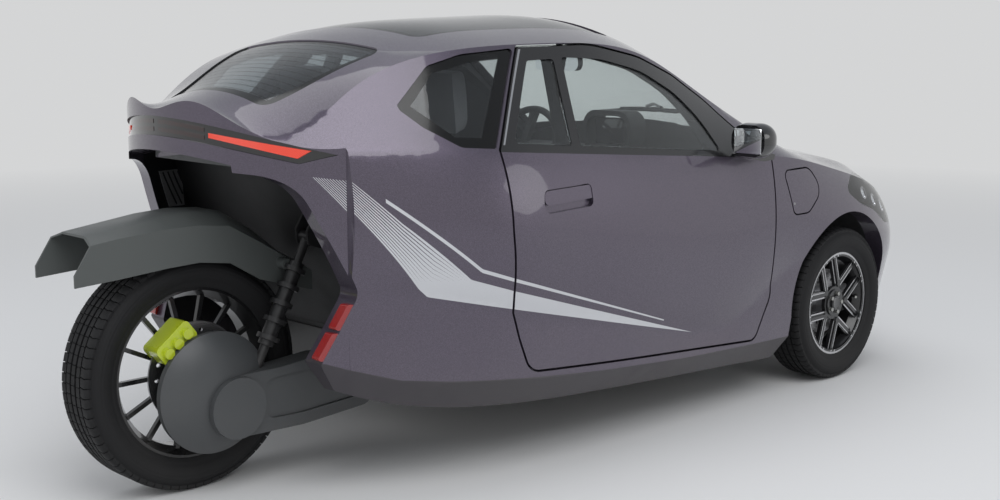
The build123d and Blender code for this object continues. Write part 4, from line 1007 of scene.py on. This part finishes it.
def lamp_units(side, name):
    """Reflector bowls and bulbs behind one headlamp's lens."""
    lamp = tree_of("headlamps")
    units = Assembly()
    for x, z in LAMP_UNITS:
        spot, normal = hit(lamp, at(x, side * 900, z), (0, -side, 0))
        place = facing(spot - normal * 0.010, normal)
        units.add(lathe(BOWL, 32, closed=True), "reflector", place)
        units.add(lathe(EYE, 24), "lamp_glow", place)
    units.piece(f"lamp_units_{name}", "root", "lamp_clear")


def lens_rows():
    """Dark rows of small lenses across the tail lamp."""
    tail = tree_of("tail_lamp")
    rows = Assembly()
    for z, drop in LENS_ROWS:
        for start, end in LENS_ENDS:
            ys = [start + (end - start) * step / 16 for step in range(17)]
            grid = [[at(-400, y, z + rise - drop * (y / 450) ** 2) for y in ys] for rise in LENS_EDGES]
            rows.add(overlay(tail, grid, (1, 0, 0), 0.0012), "smoked_lens")
    rows.piece("tail_lens_rows", "root", "lamp_red")


def flap_mark():
    """Small pale dot low on the charge flap."""
    low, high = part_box("charge_flap")
    start = Vector((low.x * 0.8 + high.x * 0.2, low.y - 0.1, low.z * 0.76 + high.z * 0.24))
    place = facing(*hit(tree_of("charge_flap"), start, (0, 1, 0)))
    Assembly().add(lathe(FLAP_MARK, 20), "pale_grey_and_painted_light", place).piece("flap_mark", "charge_flap", "body_paint")


class CAR_OT_lamps(bpy.types.Operator):
    """Headlamps with their reflectors, tail lamp, red lenses and charge flap mark"""
    bl_idname = "car.lamps"
    bl_label = "Lamps"

    def execute(self, context):
        skin("headlamps", ("inner_black", "clear_lens"), lamp_side)
        lamp_units(-1, "right")
        lamp_units(1, "left")
        skin("tail_lamp", "gloss_black")
        skin("tail_lights", ("red_lens", "deep_red_lens"), lambda centre, normal: int(centre.z < 0.85))
        lens_rows()
        flap_mark()
        return {"FINISHED"}


# Wheels; sizes in metres
TYRE_WIDTH = 0.165
FRONT_TYRE = (0.285, 0.194)  # outer radius and bead radius
REAR_TYRE = (0.340, 0.246)
# Level, reach and depth of each ring in the wall
WALL_RINGS = ((0.20, 0.030, 0.0012), (0.56, 0.022, 0.0010), (0.66, 0.022, 0.0010))
# Low edge, high edge and skew of each row of blocks
TREAD_ROWS = (
    (-0.011, 0.011, 0.0), (0.016, 0.036, 0.25), (-0.036, -0.016, 0.25), (0.041, 0.075, -0.18),
    (-0.075, -0.041, -0.18),
)


def tyre_line(radius, bead):
    """The tyre's outline as (offset, radius) points, from bead to bead."""
    half = TYRE_WIDTH / 2 + 0.0026
    middle = (radius + bead) / 2
    corners = [
        (half - 0.018, bead), (half, middle), (half - 0.009, radius),
        (-half + 0.009, radius), (-half, middle), (-half + 0.018, bead),
    ]
    return rounded(corners, [0, 0.060, 0.024, 0.024, 0.060, 0])


def fine_line(line, step):
    """Outline with points no farther apart than the step."""
    points = []
    for here, there in zip(line, line[1:]):
        count = max(1, math.ceil((there - here).length / step))
        points += [here.lerp(there, part / count) for part in range(count)]
    return points + [line[-1]]


def carcass(radius, bead, depth):
    """Tyre body, sunk to the grooves' floor under the tread, with shallow rings on its walls."""
    line = fine_line(tyre_line(radius, bead), 0.005)
    profile = []
    for index, point in enumerate(line):
        along = (line[min(index + 1, len(line) - 1)] - line[max(index - 1, 0)]).normalized()
        inward = Vector((-along.y, along.x))
        if inward.dot(Vector((-point.x, bead - 0.02 - point.y))) < 0:
            inward.negate()
        sunk = depth * min(1, max(0, (point.y - radius + 0.030) / 0.014))
        height = (point.y - bead) / (radius - bead)
        for level, reach, cut in WALL_RINGS:
            if abs(height - level) < reach:
                sunk = max(sunk, cut)
        profile.append(tuple(point + inward * sunk))
    return lathe(profile, 120, closed=True)


def tread_row(low, high, skew, radius, bead, depth, blocks):
    """One row of tread blocks round the tyre."""
    outer = fine_line(tyre_line(radius, bead), 0.003)
    strip = [point for point in outer if low <= point.x <= high and point.y > radius - 0.026]
    half = math.pi * radius / blocks - (0.0016 if high - low > 0.03 else 0.0011)
    outward = 1 if low > 0 else -1
    top, bottom = [], []
    for part in (-1, -0.9, 0.9, 1):
        drop = 0.0011 if abs(part) == 1 else 0.0004
        slide = [part * half + skew * abs(p.x - (low + high) / 2) * outward for p in strip]
        top.append([Vector((p.y - drop - radius, y, p.x)) for p, y in zip(strip, slide)])
        bottom.append([Vector((p.y - depth - 0.002 - radius, y, p.x * 0.98)) for p, y in zip(strip, slide)])
    return ring(slab(top, bottom), blocks, radius, "rubber")


def tyre(node, hub, side, size, depth, blocks):
    """One tyre in place of its CAD ring."""
    place = wheel_place(hub, side)
    whole = Assembly().add(carcass(*size, depth), "rubber", place)
    for row in TREAD_ROWS:
        whole.add(tread_row(*row, *size, depth, blocks), "rubber", place)
    whole.piece(f"{node}_tread", BODY_OF[node], SLOT_OF[node], [node], 35)


NUT_RADIUS = 0.0085
FRONT_NUTS = (0.010, 0.036, 0.0525)  # nut's height, circle's radius, place outward
REAR_NUTS = (0.012, 0.044, -0.0105)
HUB_CAP = [(0, 0.0004), (0, 0.0245), (0.002, 0.0240), (0.0032, 0.0215), (0.0026, 0.0190), (0.0030, 0.0004)]
HUB_CAP_OUT = 0.0585
VALVE = [Vector((0.170, 0, 0.022)), Vector((0.164, 0, 0.030)), Vector((0.156, 0, 0.044))]
VALVE_TIP = Vector((-0.004, 0, 0.007))


def nuts(group, place, sizes, count):
    """Circle of six sided nuts on round flanges."""
    height, circle, out = sizes
    flange = NUT_RADIUS * 1.15
    profile = [
        (0, 0.0004), (0, flange), (0.0012, flange), (0.0012, NUT_RADIUS), (height - 0.001, NUT_RADIUS),
        (height, NUT_RADIUS * 0.86), (height, 0.0004),
    ]
    group.add(ring(lathe(profile, 6), count, circle, "zinc"), "zinc", place @ Matrix.Translation((0, 0, out)))


def front_fittings(name, hub, side, count):
    """Nuts, hub cap and valve of a front wheel."""
    place = wheel_place(hub, side)
    small = Assembly()
    nuts(small, place, FRONT_NUTS, count)
    small.add(lathe(HUB_CAP, 48), "gloss_black", place @ Matrix.Translation((0, 0, HUB_CAP_OUT)))
    small.add(tube(VALVE, 0.004), "rubber", place)
    small.add(tube([VALVE[-1], VALVE[-1] + VALVE_TIP], 0.0048), "zinc", place)
    small.piece(f"wheel_fittings_{name}", f"front_wheel_{name}", "rim_machined")


class CAR_OT_wheels(bpy.types.Operator):
    """Tyres with their tread, rims with machined lines, nuts, valves and discs"""
    bl_idname = "car.wheels"
    bl_label = "Wheels"

    def execute(self, context):
        settings = context.scene.car_settings
        for name, side in (("right", -1), ("left", 1)):
            hub = box_middle(f"front_tyre_{name}")
            tyre(f"front_tyre_{name}", hub, side, FRONT_TYRE, settings.tread_depth, settings.front_blocks)
            skin(f"front_rim_{name}", "front_rim", angle=24)
            skin(f"front_disc_{name}", "front_disc")
            front_fittings(name, hub, side, settings.wheel_nuts)
        tyre("rear_tyre", REAR_HUB, -1, REAR_TYRE, settings.tread_depth, settings.rear_blocks)
        skin("rear_rim", "rim_black", angle=24)
        skin("rear_disc", "rear_disc")
        skin("rear_axle", "steel")
        small = Assembly()
        nuts(small, wheel_place(REAR_HUB, 1), REAR_NUTS, settings.wheel_nuts)
        small.piece("wheel_fittings_rear", "rear_wheel", "rim_black")
        return {"FINISHED"}


RUNNING_GEAR = {
    "swingarm": "cover_grey", "hub_cover": "cover_grey", "rear_mudguard": "guard_grey",
    "shock_absorber": "chassis_black", "arm_brackets": "chassis_black", "front_frame": "chassis_black",
    "control_arms": "chassis_black", "front_dampers": "chassis_black", "brake_caliper": "caliper",
    "knuckle_left": "cast_alloy", "knuckle_right": "cast_alloy",
}


class CAR_OT_running_gear(bpy.types.Operator):
    """Arms, dampers, brakes, covers and mudguard"""
    bl_idname = "car.running_gear"
    bl_label = "Running gear"

    def execute(self, context):
        for node, look in RUNNING_GEAR.items():
            skin(node, look, angle=50 if node == "rear_mudguard" else 30)
        return {"FINISHED"}


# Seats; ends of each pad in millimetres ahead of the rear axle and above the ground, sizes in metres
SEAT_Y = 310
CUSHION_ENDS = ((918, 406), (1366, 406))
BACK_ENDS = ((796, 440), (690, 984))
HEADREST_ENDS = ((682, 1004), (666, 1178))
POST_ENDS = ((712, 960), (704, 1030))
POST_Y = 40
BACK_LINE = ((800, 425), (688, 985))
CUSHION_SEAMS = (0.22, 0.44, 0.66)
BACK_SEAMS = (0.18, 0.36, 0.54, 0.72)
PAD_ROWS, PAD_COLUMNS = 48, 40


def pad_rise(u, v, depth, seams, bolster):
    """Height of a pad across (-1 to 1) and along (0 to 1) its middle."""
    soft = max(0.0, (1 - abs(u) ** 9) * (1 - abs(2 * v - 1) ** 9)) ** 0.3
    sides = min(1.0, max(0.0, (abs(u) - 0.58) / 0.22))
    rise = depth * (0.82 + 0.06 * math.sin(math.pi * v)) + bolster * sides * sides * (3 - 2 * sides)
    if abs(u) < 0.6:
        rise -= 0.006 * sum(math.exp(-(((v - seam) / 0.018) ** 2)) for seam in seams)
        rise += 0.004 * (1 - (u / 0.6) ** 2)
    return soft * (rise - 0.006 * math.exp(-(((abs(u) - 0.60) / 0.035) ** 2)))


def pad(width, depths, ends, y, out, seams=(), bolster=0.0):
    """Stuffed pad between two points, standing outward; its depth runs from one value to another."""
    start, end = (at(x, y, z) for x, z in ends)
    top, bottom = [], []
    for row in range(PAD_ROWS + 1):
        v = row / PAD_ROWS
        high, low = [], []
        for column in range(PAD_COLUMNS + 1):
            u = -1 + 2 * column / PAD_COLUMNS
            spot = start + (end - start) * v + Vector((0, u * width / 2, 0))
            depth = depths[0] + (depths[1] - depths[0]) * v
            high.append(spot + out * pad_rise(u, v, depth, seams, bolster))
            inner = 0 < column < PAD_COLUMNS and 0 < row < PAD_ROWS
            low.append(spot - out * (0.003 if inner else 0.004))
        top.append(high)
        bottom.append(low)
    return slab(top, bottom)


def seat_look(y, half):
    """Cloth in a pad's middle, hide at its sides."""
    return lambda centre, normal: int(abs(centre.y - y / 1000) > half)


def seats():
    """Both cushions and both backs with their headrests."""
    cushions, backs = Assembly(), Assembly()
    foot, head = (at(x, 0, z) for x, z in BACK_LINE)
    lean = (head - foot).normalized()
    front = Vector((lean.z, 0, -lean.x))
    looks = ("seat_cloth", "seat_side")
    for y in (-SEAT_Y, SEAT_Y):
        cushion = pad(0.428, (0.112, 0.134), CUSHION_ENDS, y, Vector((0, 0, 1)), CUSHION_SEAMS, 0.014)
        cushions.add(cushion, looks, pick=seat_look(y, 0.132))
        back = pad(0.408, (0.108, 0.088), BACK_ENDS, y, front, BACK_SEAMS, 0.018)
        backs.add(back, looks, pick=seat_look(y, 0.126))
        backs.add(pad(0.236, (0.078, 0.078), HEADREST_ENDS, y, front), "seat_side")
        for post in (-POST_Y, POST_Y):
            backs.add(tube([at(x, y + post, z) for x, z in POST_ENDS], 0.006), "zinc")
    cushions.piece("seat_cushion_pads", "root", "seat_fabric", ["seat_cushions"], 50)
    backs.piece("seat_back_pads", "root", "seat_fabric", ["seat_backs"], 50)


# Dashboard fittings; places in millimetres, sizes in metres
SCREEN = ((0.014, 0.180, 0.100), (1880, 0, 926))
SCREEN_FOOT = ((0.020, 0.060, 0.022), (1884, 0, 868))
VENT_Y = (-470, -170, 170, 470)
VENT_X, VENT_Z = 1762, 795
VENT_SLOPE = math.radians(-30)
VENT = (0.020, 0.130, 0.046)
SLAT = (0.006, 0.118, 0.0035)
SLATS = 4
SLAT_PITCH = 0.010


def display():
    """Screen on the dashboard, with its foot."""
    group = Assembly()
    for (size, spot), look in ((SCREEN, "screen"), (SCREEN_FOOT, "inner_black")):
        group.add(block(size, 0.006), look, Matrix.Translation(at(*spot)))
    group.piece("display", "root", "inner_plastic")


def air_vents():
    """Slatted vents along the dashboard."""
    vents = Assembly()
    for y in VENT_Y:
        slope = Matrix.Translation(at(VENT_X, y, VENT_Z)) @ Matrix.Rotation(VENT_SLOPE, 4, "Y")
        vents.add(block(VENT, 0.006), "inner_black", slope)
        for slat in range(SLATS):
            place = slope @ Matrix.Translation((-0.0115, 0, -0.015 + slat * SLAT_PITCH))
            vents.add(block(SLAT, 0.0012), "satin_black", place)
    vents.piece("air_vents", "root", "inner_plastic")


class CAR_OT_cabin(bpy.types.Operator):
    """Seats, dashboard, instrument and steering wheel"""
    bl_idname = "car.cabin"
    bl_label = "Cabin"

    def execute(self, context):
        seats()
        skin("dashboard", "cabin_grey", angle=35)
        skin("instrument_hoop", "inner_black", angle=40)
        skin("steering_wheel", "inner_black", angle=40)
        skin("steering_column", "inner_black")
        display()
        air_vents()
        return {"FINISHED"}


# Studio; lamps as name, place and size in metres, power in watts
LAMPS = (
    ("sun_panel", (-2.5, -5.0, 6.5), 6.0, 240.0),
    ("rear_panel", (-6.0, 1.5, 3.4), 3.4, 45.0),
    ("top_panel", (0.5, 1.0, 6.0), 5.0, 70.0),
    ("side_panel", (3.2, -5.5, 2.0), 2.6, 24.0),
)
LAMP_TARGET = Vector((0, 0, 0.5))
FLOOR_SIZE = 200
FLOOR_FADE = (2.5, 9.0)
SKY_TOP = (0.40, 0.42, 0.45, 1)


def make_floor(settings):
    """Pale floor that fades into the backdrop's colour away from the car, so no horizon shows."""
    backdrop = (*settings.backdrop_colour, 1)
    finish = Finish("floor", settings.floor_colour, 0.8, emission_color=backdrop)
    finish.shader["Specular IOR Level"].default_value = 0.0
    fade = finish.ramp(finish.vector("LENGTH", finish.place()[0]), *FLOOR_FADE)
    finish.feed(
        Base_Color=finish.colours(fade, (*settings.floor_colour, 1), (0, 0, 0, 1)), Emission_Strength=fade
    )
    bpy.ops.mesh.primitive_plane_add(size=FLOOR_SIZE)
    floor = bpy.context.object
    floor.name = "floor"
    floor.data.materials.append(finish.material)


def make_camera(settings):
    """Camera at the photograph's place and heading."""
    camera = bpy.data.objects.new("camera", bpy.data.cameras.new("camera"))
    bpy.context.scene.collection.objects.link(camera)
    bpy.context.scene.camera = camera
    yaw, pitch = settings.view_yaw, settings.view_pitch
    look = Vector((math.sin(yaw) * math.cos(pitch), math.cos(yaw) * math.cos(pitch), -math.sin(pitch)))
    camera.rotation_euler = look.to_track_quat("-Z", "Y").to_euler()
    camera.location = Vector(settings.view_from) + Vector((REAR_AXLE_X, 0, 0))
    camera.data.lens = settings.view_lens


def make_sky(settings):
    """World that is the backdrop's colour at the horizon and greyer overhead."""
    world = bpy.data.worlds.new("sky")
    bpy.context.scene.world = world
    world.use_nodes = True
    sky = Graph(world.node_tree)
    height = sky.add("ShaderNodeSeparateXYZ", sky.add("ShaderNodeTexCoord").outputs["Generated"]).outputs[2]
    shade = sky.colours(sky.ramp(height, 0.10, 0.60), (*settings.backdrop_colour, 1), SKY_TOP)
    sky.put(world.node_tree.nodes["Background"].inputs["Color"], shade)


def make_lamps():
    """Round soft panels that face the car."""
    for name, place, size, power in LAMPS:
        lamp = bpy.data.objects.new(name, bpy.data.lights.new(name, "AREA"))
        bpy.context.scene.collection.objects.link(lamp)
        lamp.data.shape = "DISK"
        lamp.data.size = size
        lamp.data.energy = power
        lamp.location = place
        lamp.rotation_euler = (LAMP_TARGET - Vector(place)).to_track_quat("-Z", "Y").to_euler()


class CAR_OT_studio(bpy.types.Operator):
    """Make the floor, lamps, world and camera"""
    bl_idname = "car.studio"
    bl_label = "Studio"

    def execute(self, context):
        settings = context.scene.car_settings
        make_floor(settings)
        make_camera(settings)
        make_sky(settings)
        make_lamps()
        context.scene.view_settings.view_transform = "Standard"
        return {"FINISHED"}


OPERATORS = (
    CAR_OT_finishes, CAR_OT_panels, CAR_OT_house_trim, CAR_OT_windows, CAR_OT_lamps, CAR_OT_wheels,
    CAR_OT_running_gear, CAR_OT_cabin, CAR_OT_studio,
)


class CAR_PT_panel(bpy.types.Panel):
    """Lists the steps that dress the car"""
    bl_label = "Three wheeled car"
    bl_space_type = "VIEW_3D"
    bl_region_type = "UI"
    bl_category = "Car"

    def draw(self, context):
        for operator in OPERATORS:
            self.layout.operator(operator.bl_idname)


def register():
    for cls in (CarSettings, *OPERATORS, CAR_PT_panel):
        bpy.utils.register_class(cls)
    bpy.types.Scene.car_settings = bpy.props.PointerProperty(type=CarSettings)


def unregister():
    del bpy.types.Scene.car_settings
    for cls in reversed((CarSettings, *OPERATORS, CAR_PT_panel)):
        bpy.utils.unregister_class(cls)


def main():
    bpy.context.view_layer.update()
    register()
    bpy.ops.car.finishes()
    bpy.ops.car.panels()
    bpy.ops.car.house_trim()
    bpy.ops.car.windows()
    bpy.ops.car.lamps()
    bpy.ops.car.wheels()
    bpy.ops.car.running_gear()
    bpy.ops.car.cabin()
    bpy.ops.car.studio()


if __name__ == "__main__":
    main()
